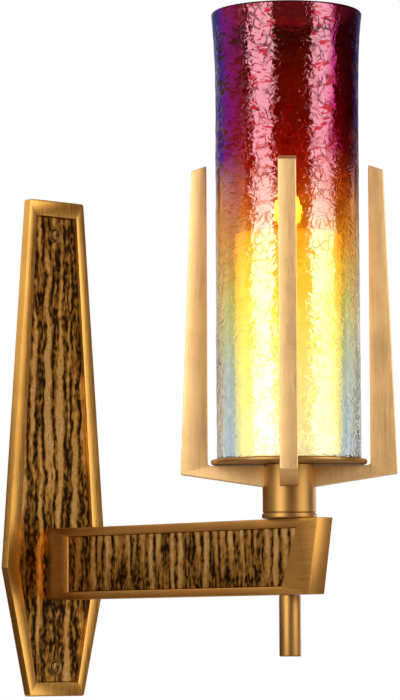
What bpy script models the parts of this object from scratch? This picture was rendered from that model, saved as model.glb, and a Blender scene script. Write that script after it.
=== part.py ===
"""Sanctuary lamp on a wall bracket.

A six-sided wall plate carries a flat arm. Near the arm's end a stud holds the lamp head: a hub with
four upright fins round a gallery disc, on which a tall glass cylinder and a pillar candle stand.
Metres, +Z up. The origin is on the plate's back face, level with the middle of the arm, and the arm
reaches out along -Y.
"""

import math

import bpy
import bmesh
from mathutils import Matrix, Vector

MM = 0.001
GAP = 0.3 * MM  # air between two pieces that seat on each other
OVERCUT = 2.0 * MM  # how far a cutter runs past the face that it opens
ROUND = 40  # sides of a large round piece
SMALL_ROUND = 20  # sides of a screw or a small hole

# Wall plate: narrow at both ends and widest beside the arm
PLATE_THICK = 7.0 * MM
PLATE_TOP_Z = 279.0 * MM
PLATE_WIDE_Z = -3.0 * MM
PLATE_BOTTOM_Z = -100.0 * MM
PLATE_TOP_HALF = 27.0 * MM
PLATE_WIDE_HALF = 50.0 * MM
PLATE_BOTTOM_HALF = 26.8 * MM
PLATE_EDGE = 0.7 * MM
PLATE_RECESS = 4.2 * MM
PLATE_BORDER_TOP = 12.0 * MM
PLATE_BORDER_BOTTOM = 10.5 * MM
PLATE_BORDER_ENDS = 8.0 * MM  # side border at the recess's top and bottom corners
PLATE_BORDER_WIDE = 11.7 * MM  # side border at the widest level
PLATE_INLAY_THICK = 1.8 * MM

# Arm: a flat bar on edge, cut off at a slant, with a sunk panel on each side
ARM_THICK = 15.4 * MM
ARM_HEIGHT = 54.0 * MM
ARM_REACH = 294.0 * MM  # from the wall to the top corner of its end
ARM_SLANT = 9.0 * MM  # how far the end's bottom corner stays behind its top corner
ARM_EDGE = 0.5 * MM
ARM_RECESS = 2.4 * MM
ARM_INLAY_THICK = 1.6 * MM
ARM_BORDER_ROOT = 21.0 * MM  # from the plate's face
ARM_BORDER_TOP = 6.5 * MM
ARM_BORDER_BOTTOM = 5.8 * MM
ARM_BORDER_END_TOP = 22.0 * MM
ARM_BORDER_END_BOTTOM = 28.0 * MM
AXIS_OUT = 258.0 * MM  # from the wall to the lamp's axis

# Wall screws in cup washers, and the arm's countersunk screws
WALL_SCREW_FROM_TOP = 26.0 * MM
WALL_SCREW_FROM_BOTTOM = 22.0 * MM
WALL_SCREW_RADIUS = 2.2 * MM
WALL_SCREW_LENGTH = 38.0 * MM  # from under its head to its point
WALL_SCREW_HEAD = 4.3 * MM
WALL_SCREW_CONE = 1.9 * MM
WALL_SCREW_DOME = 1.1 * MM
WASHER_RADIUS = 6.1 * MM
WASHER_HEIGHT = 2.3 * MM
ARM_SCREW_RADIUS = 2.5 * MM
ARM_SCREW_HEAD = 4.6 * MM
ARM_SCREW_DEPTH = 14.0 * MM  # how far it goes into the arm
ARM_SCREW_FROM_EDGE = 12.0 * MM  # from the arm's top and bottom edges

# Stud, tail rod and hub
STUD_RADIUS = 3.0 * MM
STUD_IN_TAIL = 14.0 * MM
STUD_ABOVE_NUT = 2.0 * MM
TAIL_RADIUS = 7.75 * MM
TAIL_LENGTH = 43.5 * MM
TAIL_CHAMFER = 1.0 * MM
RING_OVER_HUB = 0.6 * MM
RING_HEIGHT = 3.3 * MM
HUB_RADIUS = 19.05 * MM
HUB_HEIGHT = 34.6 * MM
HUB_WALL = 7.5 * MM
HUB_FLOOR = 6.0 * MM
HUB_SLOT = 3.5 * MM  # depth of the slots that take the fins
NUT_HALF_FLAT = 5.0 * MM
NUT_HEIGHT = 5.0 * MM
PLUG_HEIGHT = 5.0 * MM

# Glass, gallery disc and candle
GLASS_RADIUS = 51.8 * MM
GLASS_WALL = 3.2 * MM
GLASS_HEIGHT = 322.0 * MM
GLASS_FLARE = 2.7 * MM  # how far the mouth opens out
GLASS_FLARE_HEIGHT = 60.0 * MM
DISC_MARGIN = 4.0 * MM  # of the disc past the glass
DISC_THICK = 3.2 * MM
DISC_SCREW_RADIUS = 2.5 * MM
DISC_SCREW_HEAD = 4.6 * MM
CANDLE_ROOM = 10.5 * MM  # all round, between the candle and the glass
CANDLE_HEIGHT = 162.0 * MM
CANDLE_EDGE = 2.5 * MM
CANDLE_POOL_RIM = 6.0 * MM
CANDLE_POOL_DEPTH = 2.0 * MM
WICK_RADIUS = 1.2 * MM
WICK_ABOVE = 8.0 * MM

# Fins
FIN_THICK = 12.7 * MM
FIN_ROOM = 2.4 * MM  # between the disc's rim and the fins
FIN_WIDTH_FOOT = 19.0 * MM
FIN_WIDTH_TOP = 10.5 * MM
FIN_ABOVE_DISC = 207.5 * MM  # of the top's outer corner
FIN_TOP_RISE = 3.5 * MM  # of the top's inner corner over the outer one
FIN_UNDER_DISC = 0.7 * MM
FIN_ROOT_HEIGHT = 15.0 * MM
FIN_FOOT_HEIGHT = 6.0 * MM  # at the outer corner
FIN_FILLET = 2.5 * MM
FIN_SCREW_RADIUS = 2.0 * MM
FIN_SCREW_HEAD = 3.5 * MM
FIN_SCREW_DEPTH = 12.0 * MM  # how far it goes into the fin
FIN_HEADINGS = {
    "back_right": 45.0,
    "back_left": 135.0,
    "front_left": 225.0,
    "front_right": 315.0,
}

# Levels and places that follow from the sizes above
FLOOR_Y = -(PLATE_THICK - PLATE_RECESS)
ARM_START = -FLOOR_Y + GAP
ARM_TOP_Z = ARM_HEIGHT / 2
RING_Z = ARM_TOP_Z + GAP
HUB_Z = RING_Z + RING_HEIGHT + GAP
HUB_TOP_Z = HUB_Z + HUB_HEIGHT
DISC_Z = HUB_TOP_Z + GAP
DISC_RADIUS = GLASS_RADIUS + DISC_MARGIN
DISC_TOP_Z = DISC_Z + DISC_THICK
SEAT_Z = DISC_TOP_Z + GAP
TAIL_TOP_Z = -ARM_HEIGHT / 2 - GAP
HUB_BORE = HUB_RADIUS - HUB_WALL
FIN_SCREW_HEAD_HEIGHT = 0.35 * HUB_BORE  # the four heads must not meet in the middle
SLOT_FLOOR = HUB_RADIUS - HUB_SLOT
FIN_TOP_Z = HUB_TOP_Z - FIN_UNDER_DISC
FIN_BOTTOM_Z = FIN_TOP_Z - FIN_ROOT_HEIGHT
FIN_SCREW_Z = FIN_BOTTOM_Z + FIN_SCREW_HEAD + 1.2 * MM
FIN_INNER = DISC_RADIUS + FIN_ROOM
PLUG_Z = HUB_TOP_Z - PLUG_HEIGHT
AXIS = Vector((0.0, -AXIS_OUT, 0.0))
SOCKET_SHARE = 0.55  # a hex socket's radius over its head's
SINK_ANGLE_RISE = 0.95  # a countersunk head's height for each unit that it widens


# ---------------------------------------------------------------- materials


def material(name, rgb, roughness, metallic, alpha=1.0):
    made = bpy.data.materials.new(name)
    made.use_nodes = True
    shader = made.node_tree.nodes["Principled BSDF"]
    shader.inputs["Base Color"].default_value = (*rgb, 1.0)
    shader.inputs["Roughness"].default_value = roughness
    shader.inputs["Metallic"].default_value = metallic
    shader.inputs["Alpha"].default_value = alpha
    return made


def make_materials():
    return {
        "satin_bronze": material("satin_bronze", (0.55, 0.32, 0.10), 0.35, 1.0),
        "oxidised_bronze": material("oxidised_bronze", (0.22, 0.12, 0.04), 0.5, 1.0),
        "steel": material("steel", (0.55, 0.55, 0.56), 0.3, 1.0),
        "ruby_glass": material("ruby_glass", (0.55, 0.05, 0.05), 0.1, 0.0, 0.5),
        "wax": material("wax", (0.95, 0.83, 0.45), 0.5, 0.0),
        "wick": material("wick", (0.12, 0.1, 0.08), 0.9, 0.0),
    }


# ---------------------------------------------------------------- shape tools


def clear_scene():
    for old in list(bpy.data.objects):
        bpy.data.objects.remove(old)


def collection(name):
    made = bpy.data.collections.new(name)
    bpy.context.scene.collection.children.link(made)
    return made


def new_object(name, data, where):
    made = bpy.data.objects.new(name, data)
    where.objects.link(made)
    return made


def circle(x, y, radius, sides=SMALL_ROUND):
    turns = [2 * math.pi * i / sides for i in range(sides)]
    return [(x + radius * math.cos(t), y + radius * math.sin(t)) for t in turns]


def arc(x, y, radius, start, end, steps=5):
    """Points round (x, y) from one angle to another, in degrees."""
    turns = [math.radians(start + (end - start) * i / steps) for i in range(steps + 1)]
    return [(x + radius * math.cos(t), y + radius * math.sin(t)) for t in turns]


def inset(outline, distance):
    """A convex outline, counterclockwise, with each side moved inwards."""
    sides = []
    for i, start in enumerate(outline):
        a = Vector(start)
        along = (Vector(outline[(i + 1) % len(outline)]) - a).normalized()
        sides.append((a + Vector((-along.y, along.x)) * distance, along))
    corners = []
    for i, (b, v) in enumerate(sides):
        a, u = sides[i - 1]
        share = (b - a).cross(v) / u.cross(v)
        corners.append(tuple(a + u * share))
    return corners


def slab(name, outlines, thick, where):
    """A flat piece from closed outlines, of which later ones are holes; its middle plane is local z 0."""
    curve = bpy.data.curves.new(name, "CURVE")
    curve.dimensions = "2D"
    curve.fill_mode = "BOTH"
    curve.extrude = thick / 2
    for outline in outlines:
        spline = curve.splines.new("POLY")
        spline.points.add(len(outline) - 1)
        for point, (x, y) in zip(spline.points, outline):
            point.co = (x, y, 0.0, 1.0)
        spline.use_cyclic_u = True
    drawn = new_object(name + "_outline", curve, where)
    graph = bpy.context.evaluated_depsgraph_get()
    mesh = bpy.data.meshes.new_from_object(drawn.evaluated_get(graph))
    bpy.data.objects.remove(drawn)
    weld(mesh)
    return new_object(name, mesh, where)


def weld(mesh):
    shape = bmesh.new()
    shape.from_mesh(mesh)
    bmesh.ops.remove_doubles(shape, verts=shape.verts, dist=1e-6)
    bmesh.ops.recalc_face_normals(shape, faces=shape.faces)
    shape.to_mesh(mesh)
    shape.free()


def turned(name, profile, where, sides=ROUND, closed=False):
    """A shape turned round local Z from (radius, height) points, which run down its outer side."""
    mesh = bpy.data.meshes.new(name)
    points = [(r, 0.0, z) for r, z in profile]
    edges = [(i, i + 1) for i in range(len(points) - 1)]
    if closed:
        edges.append((len(points) - 1, 0))
    mesh.from_pydata(points, edges, [])
    made = new_object(name, mesh, where)
    screw = made.modifiers.new("turn", "SCREW")
    screw.axis = "Z"
    screw.steps = screw.render_steps = sides
    screw.use_merge_vertices = True
    screw.merge_threshold = 1e-6
    screw.use_smooth_shade = True
    return made


def ring_profile(inner, outer, bottom, top):
    return [(inner, top), (outer, top), (outer, bottom), (inner, bottom)]


def rod(name, radius, length, where, sides=SMALL_ROUND):
    """A cylinder along local Z, centred."""
    mesh = bpy.data.meshes.new(name)
    shape = bmesh.new()
    bmesh.ops.create_cone(
        shape, cap_ends=True, segments=sides, radius1=radius, radius2=radius, depth=length
    )
    shape.to_mesh(mesh)
    shape.free()
    mesh.shade_smooth()
    mesh.set_sharp_from_angle(angle=math.radians(40))
    return new_object(name, mesh, where)


def box(name, size, where):
    mesh = bpy.data.meshes.new(name)
    shape = bmesh.new()
    bmesh.ops.create_cube(shape, size=1.0, matrix=Matrix.Diagonal((*size, 1.0)))
    shape.to_mesh(mesh)
    shape.free()
    return new_object(name, mesh, where)


def stand_up(piece, heading, place):
    """Local x along the heading in degrees, local y along +Z, and the origin at place."""
    piece.rotation_euler = (math.radians(90), 0.0, math.radians(heading))
    piece.location = place


def bevel_edges(piece, width):
    bevel = piece.modifiers.new("edge", "BEVEL")
    bevel.width = width
    bevel.segments = 1
    bevel.limit_method = "ANGLE"
    bevel.angle_limit = math.radians(40)


def cut(piece, cutter):
    cutter.hide_render = True
    cutter.display_type = "WIRE"
    boolean = piece.modifiers.new("cut_" + cutter.name, "BOOLEAN")
    boolean.operation = "DIFFERENCE"
    boolean.object = cutter


def finish(piece, finish_of):
    piece.data.materials.clear()
    piece.data.materials.append(finish_of)


def hang(piece, joint_empty):
    """Parents a piece to its joint's empty and leaves it where it stands."""
    bpy.context.view_layer.update()
    place = piece.matrix_world.copy()
    piece.parent = joint_empty
    piece.matrix_world = place


def joint_empty(name, place, where, parent=None):
    made = new_object(name, None, where)
    made.location = place
    if parent:
        hang(made, parent)
    return made


# ---------------------------------------------------------------- fasteners


def countersunk_profile(head, shank, length):
    """A flush head at the top and a flat end at -length."""
    cone = (head - shank) * SINK_ANGLE_RISE
    return [(0.0, 0.0), (head, 0.0), (shank, -cone), (shank, -length), (0.0, -length)]


def sink_profile(head, shank, length):
    """The hole for a countersunk screw whose head stays just under the face."""
    wide, narrow = head + GAP, shank + GAP
    cone = (wide - narrow) * SINK_ANGLE_RISE
    return [
        (0.0, OVERCUT),
        (wide, OVERCUT),
        (wide, -GAP),
        (narrow, -GAP - cone),
        (narrow, -length),
        (0.0, -length),
    ]


def hex_socket(screw, head, depth, top, cutters):
    """Cuts a hex key's socket into a screw whose axis is local Z."""
    key = rod(screw.name + "_socket", head * SOCKET_SHARE, 2 * depth, cutters, sides=6)
    bpy.context.view_layer.update()
    key.matrix_world = screw.matrix_world @ Matrix.Translation((0.0, 0.0, top))
    cut(screw, key)


# ---------------------------------------------------------------- bracket


def plate_half(z):
    """Half of the plate's width at a height."""
    end_z, end_half = (
        (PLATE_TOP_Z, PLATE_TOP_HALF)
        if z > PLATE_WIDE_Z
        else (PLATE_BOTTOM_Z, PLATE_BOTTOM_HALF)
    )
    share = (z - PLATE_WIDE_Z) / (end_z - PLATE_WIDE_Z)
    return PLATE_WIDE_HALF + (end_half - PLATE_WIDE_HALF) * share


def six_sided(levels):
    """A counterclockwise outline from (half width, height) at its bottom, widest level and top."""
    right = [(half, z) for half, z in levels]
    left = [(-half, z) for half, z in reversed(levels)]
    return right + left


def plate_outline():
    return six_sided(
        (
            (PLATE_BOTTOM_HALF, PLATE_BOTTOM_Z),
            (PLATE_WIDE_HALF, PLATE_WIDE_Z),
            (PLATE_TOP_HALF, PLATE_TOP_Z),
        )
    )


def plate_recess_outline():
    bottom = PLATE_BOTTOM_Z + PLATE_BORDER_BOTTOM
    top = PLATE_TOP_Z - PLATE_BORDER_TOP
    return six_sided(
        (
            (plate_half(bottom) - PLATE_BORDER_ENDS, bottom),
            (PLATE_WIDE_HALF - PLATE_BORDER_WIDE, PLATE_WIDE_Z),
            (plate_half(top) - PLATE_BORDER_ENDS, top),
        )
    )


def wall_screw_levels():
    return {
        "upper": PLATE_TOP_Z - WALL_SCREW_FROM_TOP,
        "lower": PLATE_BOTTOM_Z + WALL_SCREW_FROM_BOTTOM,
    }


def arm_screw_levels():
    spread = ARM_HEIGHT / 2 - ARM_SCREW_FROM_EDGE
    return {"upper": spread, "lower": -spread}


def along_y(piece, z, y, outward=True):
    """Turns local Z to -Y, away from the wall, or to +Y, towards it."""
    piece.rotation_euler = (math.radians(90 if outward else -90), 0.0, 0.0)
    piece.location = (0.0, y, z)


def arm_screw_length():
    return -FLOOR_Y + GAP + ARM_SCREW_DEPTH


def make_wall_plate(parts, cutters, finishes):
    plate = slab("wall_plate", [plate_outline()], PLATE_THICK, parts)
    stand_up(plate, 0.0, (0.0, -PLATE_THICK / 2, 0.0))
    bevel_edges(plate, PLATE_EDGE)
    recess = slab("plate_recess", [plate_recess_outline()], 2 * PLATE_RECESS, cutters)
    stand_up(recess, 0.0, (0.0, -PLATE_THICK, 0.0))
    cut(plate, recess)
    for level, z in wall_screw_levels().items():
        length = 2 * (PLATE_THICK + OVERCUT)
        drill = rod(f"plate_drill_{level}", WALL_SCREW_RADIUS + GAP, length, cutters)
        along_y(drill, z, 0.0)
        cut(plate, drill)
    for level, z in arm_screw_levels().items():
        sink = turned(
            f"plate_sink_{level}",
            sink_profile(ARM_SCREW_HEAD, ARM_SCREW_RADIUS, PLATE_THICK),
            cutters,
            SMALL_ROUND,
        )
        along_y(sink, z, 0.0, outward=False)
        cut(plate, sink)
    finish(plate, finishes["satin_bronze"])


def arm_slot():
    """The opening that lets the arm through the plate's inlay."""
    half_wide, half_high = ARM_THICK / 2 + GAP, ARM_HEIGHT / 2 + GAP
    return [
        (-half_wide, -half_high),
        (half_wide, -half_high),
        (half_wide, half_high),
        (-half_wide, half_high),
    ]


def make_plate_inlay(parts, finishes):
    holes = [circle(0.0, z, WASHER_RADIUS + GAP) for z in wall_screw_levels().values()]
    outlines = [inset(plate_recess_outline(), GAP), arm_slot(), *holes]
    inlay = slab("plate_bark_inlay", outlines, PLATE_INLAY_THICK, parts)
    stand_up(inlay, 0.0, (0.0, FLOOR_Y - GAP - PLATE_INLAY_THICK / 2, 0.0))
    finish(inlay, finishes["oxidised_bronze"])


def make_wall_screws(parts, finishes):
    """Oval-headed screws in cup washers, which go through the plate into the wall."""
    seat_y = FLOOR_Y - GAP
    head_top = WASHER_HEIGHT + GAP + WALL_SCREW_DOME
    neck = WASHER_HEIGHT + GAP - WALL_SCREW_CONE
    tip = neck - WALL_SCREW_LENGTH
    mouth = WALL_SCREW_HEAD + GAP
    throat = WALL_SCREW_RADIUS + GAP
    washer_profile = [
        (mouth, WASHER_HEIGHT),
        (mouth + 0.4 * MM, WASHER_HEIGHT),
        (WASHER_RADIUS, WASHER_HEIGHT * 0.55),
        (WASHER_RADIUS, 0.0),
        (throat, 0.0),
        (throat, WASHER_HEIGHT - WALL_SCREW_CONE),
    ]
    screw_profile = [
        (0.0, head_top),
        (WALL_SCREW_HEAD * 0.55, head_top - WALL_SCREW_DOME * 0.25),
        (WALL_SCREW_HEAD, head_top - WALL_SCREW_DOME),
        (WALL_SCREW_RADIUS, neck),
        (WALL_SCREW_RADIUS, tip + 4 * WALL_SCREW_RADIUS),
        (0.0, tip),
    ]
    for level, z in wall_screw_levels().items():
        washer = turned(
            f"cup_washer_{level}", washer_profile, parts, SMALL_ROUND, closed=True
        )
        along_y(washer, z, seat_y)
        finish(washer, finishes["oxidised_bronze"])
        screw = turned(f"wall_screw_{level}", screw_profile, parts, SMALL_ROUND)
        along_y(screw, z, seat_y)
        finish(screw, finishes["oxidised_bronze"])


def make_arm_screws(parts, cutters, finishes):
    for level, z in arm_screw_levels().items():
        screw = turned(
            f"arm_screw_{level}",
            countersunk_profile(ARM_SCREW_HEAD, ARM_SCREW_RADIUS, arm_screw_length()),
            parts,
            SMALL_ROUND,
        )
        along_y(screw, z, -GAP, outward=False)
        hex_socket(screw, ARM_SCREW_RADIUS, 2.0 * MM, 0.0, cutters)
        finish(screw, finishes["steel"])


def arm_outline():
    return [
        (ARM_START, -ARM_HEIGHT / 2),
        (ARM_REACH - ARM_SLANT, -ARM_HEIGHT / 2),
        (ARM_REACH, ARM_HEIGHT / 2),
        (ARM_START, ARM_HEIGHT / 2),
    ]


def arm_recess_outline():
    bottom = -ARM_HEIGHT / 2 + ARM_BORDER_BOTTOM
    top = ARM_HEIGHT / 2 - ARM_BORDER_TOP
    root = PLATE_THICK + ARM_BORDER_ROOT
    return [
        (root, bottom),
        (ARM_REACH - ARM_SLANT - ARM_BORDER_END_BOTTOM, bottom),
        (ARM_REACH - ARM_BORDER_END_TOP, top),
        (root, top),
    ]


def make_arm(parts, cutters, finishes):
    arm = slab("arm", [arm_outline()], ARM_THICK, parts)
    stand_up(arm, -90.0, (0.0, 0.0, 0.0))
    bevel_edges(arm, ARM_EDGE)
    for side, x in (("left", -ARM_THICK / 2), ("right", ARM_THICK / 2)):
        recess = slab(f"arm_recess_{side}", [arm_recess_outline()], 2 * ARM_RECESS, cutters)
        stand_up(recess, -90.0, (x, 0.0, 0.0))
        cut(arm, recess)
    bore = rod("arm_bore", STUD_RADIUS + GAP, ARM_HEIGHT + 2 * OVERCUT, cutters)
    bore.location = AXIS
    cut(arm, bore)
    for level, z in arm_screw_levels().items():
        depth = ARM_SCREW_DEPTH + 2.0 * MM
        drill = rod(f"arm_drill_{level}", ARM_SCREW_RADIUS + GAP, 2 * depth, cutters)
        along_y(drill, z, -ARM_START)
        cut(arm, drill)
    finish(arm, finishes["satin_bronze"])


def make_arm_inlays(parts, finishes):
    outline = inset(arm_recess_outline(), GAP)
    middle = ARM_THICK / 2 - ARM_RECESS + GAP + ARM_INLAY_THICK / 2
    for side, x in (("left", -middle), ("right", middle)):
        inlay = slab(f"arm_bark_inlay_{side}", [outline], ARM_INLAY_THICK, parts)
        stand_up(inlay, -90.0, (x, 0.0, 0.0))
        finish(inlay, finishes["oxidised_bronze"])


# ---------------------------------------------------------------- lamp head


def place_on_axis(piece, z, axis):
    piece.location = AXIS + Vector((0.0, 0.0, z))
    hang(piece, axis)


def make_tail_rod(parts, tail_axis, finishes):
    profile = [
        (0.0, -STUD_IN_TAIL - 2.0 * MM),
        (STUD_RADIUS + GAP, -STUD_IN_TAIL - 2.0 * MM),
        (STUD_RADIUS + GAP, 0.0),
        (TAIL_RADIUS - TAIL_CHAMFER / 2, 0.0),
        (TAIL_RADIUS, -TAIL_CHAMFER / 2),
        (TAIL_RADIUS, -TAIL_LENGTH + TAIL_CHAMFER),
        (TAIL_RADIUS - TAIL_CHAMFER, -TAIL_LENGTH),
        (0.0, -TAIL_LENGTH),
    ]
    tail = turned("tail_rod", profile, parts)
    place_on_axis(tail, TAIL_TOP_Z, tail_axis)
    finish(tail, finishes["satin_bronze"])


def make_stud_and_nut(parts, head_axis, finishes):
    bottom = TAIL_TOP_Z - STUD_IN_TAIL
    nut_z = HUB_Z + HUB_FLOOR + GAP
    top = nut_z + NUT_HEIGHT + STUD_ABOVE_NUT
    stud = rod("tie_stud", STUD_RADIUS, top - bottom, parts)
    place_on_axis(stud, (top + bottom) / 2, head_axis)
    finish(stud, finishes["steel"])
    corner = NUT_HALF_FLAT / math.cos(math.pi / 6)
    outlines = [circle(0.0, 0.0, corner, 6), circle(0.0, 0.0, STUD_RADIUS + GAP)]
    nut = slab("stud_nut", outlines, NUT_HEIGHT, parts)
    place_on_axis(nut, nut_z + NUT_HEIGHT / 2, head_axis)
    finish(nut, finishes["steel"])


def make_base_ring(parts, head_axis, finishes):
    edge = RING_OVER_HUB / 2
    outer = HUB_RADIUS + RING_OVER_HUB
    inner = STUD_RADIUS + GAP
    profile = [
        (inner, RING_HEIGHT),
        (outer - edge, RING_HEIGHT),
        (outer, RING_HEIGHT - edge),
        (outer, edge),
        (outer - edge, 0.0),
        (inner, 0.0),
    ]
    ring = turned("hub_base_ring", profile, parts, closed=True)
    place_on_axis(ring, RING_Z, head_axis)
    finish(ring, finishes["satin_bronze"])


def make_hub(parts, cutters, head_axis, finishes):
    hole = STUD_RADIUS + GAP
    profile = [
        (HUB_BORE, HUB_HEIGHT),
        (HUB_RADIUS, HUB_HEIGHT),
        (HUB_RADIUS, 0.0),
        (hole, 0.0),
        (hole, HUB_FLOOR),
        (HUB_BORE, HUB_FLOOR),
    ]
    hub = turned("hub", profile, parts, closed=True)
    place_on_axis(hub, HUB_Z, head_axis)
    for place, heading in FIN_HEADINGS.items():
        turn = Matrix.Rotation(math.radians(heading), 4, "Z")
        length = HUB_SLOT + OVERCUT
        height = FIN_ROOT_HEIGHT + FIN_UNDER_DISC + GAP + OVERCUT
        slot = box(f"hub_slot_{place}", (length, FIN_THICK + 2 * GAP, height), cutters)
        middle = Vector((SLOT_FLOOR + length / 2, 0.0, FIN_BOTTOM_Z - GAP + height / 2))
        slot.matrix_world = Matrix.Translation(AXIS) @ turn @ Matrix.Translation(middle)
        cut(hub, slot)
        drill = rod(f"hub_drill_{place}", FIN_SCREW_RADIUS + GAP, HUB_WALL * 2, cutters)
        middle = Vector((SLOT_FLOOR - HUB_SLOT, 0.0, FIN_SCREW_Z))
        lay_down = Matrix.Rotation(math.radians(90), 4, "Y")
        drill.matrix_world = (
            Matrix.Translation(AXIS) @ turn @ Matrix.Translation(middle) @ lay_down
        )
        cut(hub, drill)
    finish(hub, finishes["satin_bronze"])


def fin_outline():
    """In distance from the axis and height, counterclockwise from the root's lower corner."""
    root = SLOT_FLOOR + GAP
    outer = FIN_INNER + FIN_WIDTH_FOOT
    top_z = DISC_TOP_Z + FIN_ABOVE_DISC
    corner = arc(
        FIN_INNER - FIN_FILLET, FIN_TOP_Z + FIN_FILLET, FIN_FILLET, 0.0, -90.0
    )
    return [
        (root, FIN_BOTTOM_Z),
        (HUB_RADIUS, FIN_BOTTOM_Z),
        (outer, FIN_TOP_Z - FIN_FOOT_HEIGHT),
        (FIN_INNER + FIN_WIDTH_TOP, top_z),
        (FIN_INNER, top_z + FIN_TOP_RISE),
        *corner,
        (root, FIN_TOP_Z),
    ]


def make_fins(parts, cutters, head_axis, finishes):
    for place, heading in FIN_HEADINGS.items():
        fin = slab(f"fin_{place}", [fin_outline()], FIN_THICK, parts)
        stand_up(fin, heading, AXIS)
        bevel_edges(fin, ARM_EDGE)
        depth = FIN_SCREW_DEPTH + 2.0 * MM
        turn = Matrix.Rotation(math.radians(heading), 4, "Z")
        middle = Matrix.Translation((SLOT_FLOOR, 0.0, FIN_SCREW_Z))
        lay_down = Matrix.Rotation(math.radians(90), 4, "Y")
        drill = rod(f"fin_drill_{place}", FIN_SCREW_RADIUS + GAP, 2 * depth, cutters)
        drill.matrix_world = Matrix.Translation(AXIS) @ turn @ middle @ lay_down
        cut(fin, drill)
        hang(fin, head_axis)
        finish(fin, finishes["satin_bronze"])


def make_fin_screws(parts, cutters, head_axis, finishes):
    """Cap screws from inside the hub's bore, each into the root of a fin."""
    flat_bore = HUB_BORE * math.cos(math.pi / ROUND)
    seat = GAP - math.sqrt(flat_bore**2 - FIN_SCREW_HEAD**2)
    tip = -(SLOT_FLOOR + FIN_SCREW_DEPTH)
    profile = [
        (0.0, seat + FIN_SCREW_HEAD_HEIGHT),
        (FIN_SCREW_HEAD, seat + FIN_SCREW_HEAD_HEIGHT),
        (FIN_SCREW_HEAD, seat),
        (FIN_SCREW_RADIUS, seat),
        (FIN_SCREW_RADIUS, tip),
        (0.0, tip),
    ]
    for place, heading in FIN_HEADINGS.items():
        screw = turned(f"fin_screw_{place}", profile, parts, SMALL_ROUND)
        turn = Matrix.Rotation(math.radians(heading), 4, "Z")
        inwards = Matrix.Rotation(math.radians(-90), 4, "Y")
        level = Matrix.Translation((0.0, 0.0, FIN_SCREW_Z))
        screw.matrix_world = Matrix.Translation(AXIS) @ turn @ level @ inwards
        top = seat + FIN_SCREW_HEAD_HEIGHT
        hex_socket(screw, FIN_SCREW_HEAD, 2.0 * MM, top, cutters)
        hang(screw, head_axis)
        finish(screw, finishes["steel"])


def make_plug(parts, head_axis, finishes):
    """The threaded plug in the hub's mouth that the disc is screwed to."""
    plug_profile = ring_profile(
        DISC_SCREW_RADIUS + GAP, HUB_BORE - GAP, 0.0, PLUG_HEIGHT
    )
    plug = turned("hub_plug", plug_profile, parts, closed=True)
    place_on_axis(plug, PLUG_Z, head_axis)
    finish(plug, finishes["satin_bronze"])


def make_disc(parts, cutters, head_axis, finishes):
    edge = DISC_THICK / 3
    mouth, throat = DISC_SCREW_HEAD + GAP, DISC_SCREW_RADIUS + GAP
    cone = (mouth - throat) * SINK_ANGLE_RISE
    profile = [
        (mouth, DISC_THICK),
        (DISC_RADIUS - edge, DISC_THICK),
        (DISC_RADIUS, DISC_THICK - edge),
        (DISC_RADIUS, edge),
        (DISC_RADIUS - edge, 0.0),
        (throat, 0.0),
        (throat, DISC_THICK - cone),
    ]
    disc = turned("gallery_disc", profile, parts, closed=True)
    place_on_axis(disc, DISC_Z, head_axis)
    finish(disc, finishes["satin_bronze"])
    length = DISC_THICK + PLUG_HEIGHT
    screw = turned(
        "disc_screw",
        countersunk_profile(DISC_SCREW_HEAD, DISC_SCREW_RADIUS, length),
        parts,
        SMALL_ROUND,
    )
    screw.location = AXIS + Vector((0.0, 0.0, DISC_TOP_Z))
    hex_socket(screw, DISC_SCREW_RADIUS, 2.0 * MM, 0.0, cutters)
    hang(screw, head_axis)
    finish(screw, finishes["satin_bronze"])


# ---------------------------------------------------------------- glass and candle


def glass_profile():
    """A tube whose mouth opens out on a smooth curve and ends in a round rim."""
    steps = 6
    flare = []
    for i in range(steps + 1):
        share = 1.0 - i / steps
        z = GLASS_HEIGHT - GLASS_WALL / 2 - GLASS_FLARE_HEIGHT * (1.0 - share)
        flare.append((GLASS_RADIUS + GLASS_FLARE * share**2, z))
    outer = [*flare, (GLASS_RADIUS, 0.0)]
    inner = [(r - GLASS_WALL, z) for r, z in reversed(outer)]
    rim_radius = GLASS_RADIUS + GLASS_FLARE - GLASS_WALL / 2
    rim = arc(rim_radius, flare[0][1], GLASS_WALL / 2, 180.0, 0.0, 4)
    return [*rim, *outer[1:], *inner[:-1]]


def make_glass(parts, glass_axis, finishes):
    glass = turned("glass_cylinder", glass_profile(), parts, closed=True)
    place_on_axis(glass, SEAT_Z, glass_axis)
    finish(glass, finishes["ruby_glass"])


def make_candle(parts, candle_axis, finishes):
    radius = GLASS_RADIUS - GLASS_WALL - CANDLE_ROOM
    hole = WICK_RADIUS + GAP
    pool = CANDLE_HEIGHT - CANDLE_POOL_DEPTH
    profile = [
        (hole, pool),
        (radius - CANDLE_POOL_RIM, pool),
        (radius - CANDLE_EDGE, CANDLE_HEIGHT),
        (radius, CANDLE_HEIGHT - CANDLE_EDGE),
        (radius, 0.0),
        (hole, 0.0),
    ]
    candle = turned("candle", profile, parts, closed=True)
    place_on_axis(candle, SEAT_Z, candle_axis)
    finish(candle, finishes["wax"])
    length = CANDLE_HEIGHT + WICK_ABOVE
    wick = rod("wick", WICK_RADIUS, length, parts, sides=10)
    place_on_axis(wick, SEAT_Z + length / 2, candle_axis)
    finish(wick, finishes["wick"])


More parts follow.
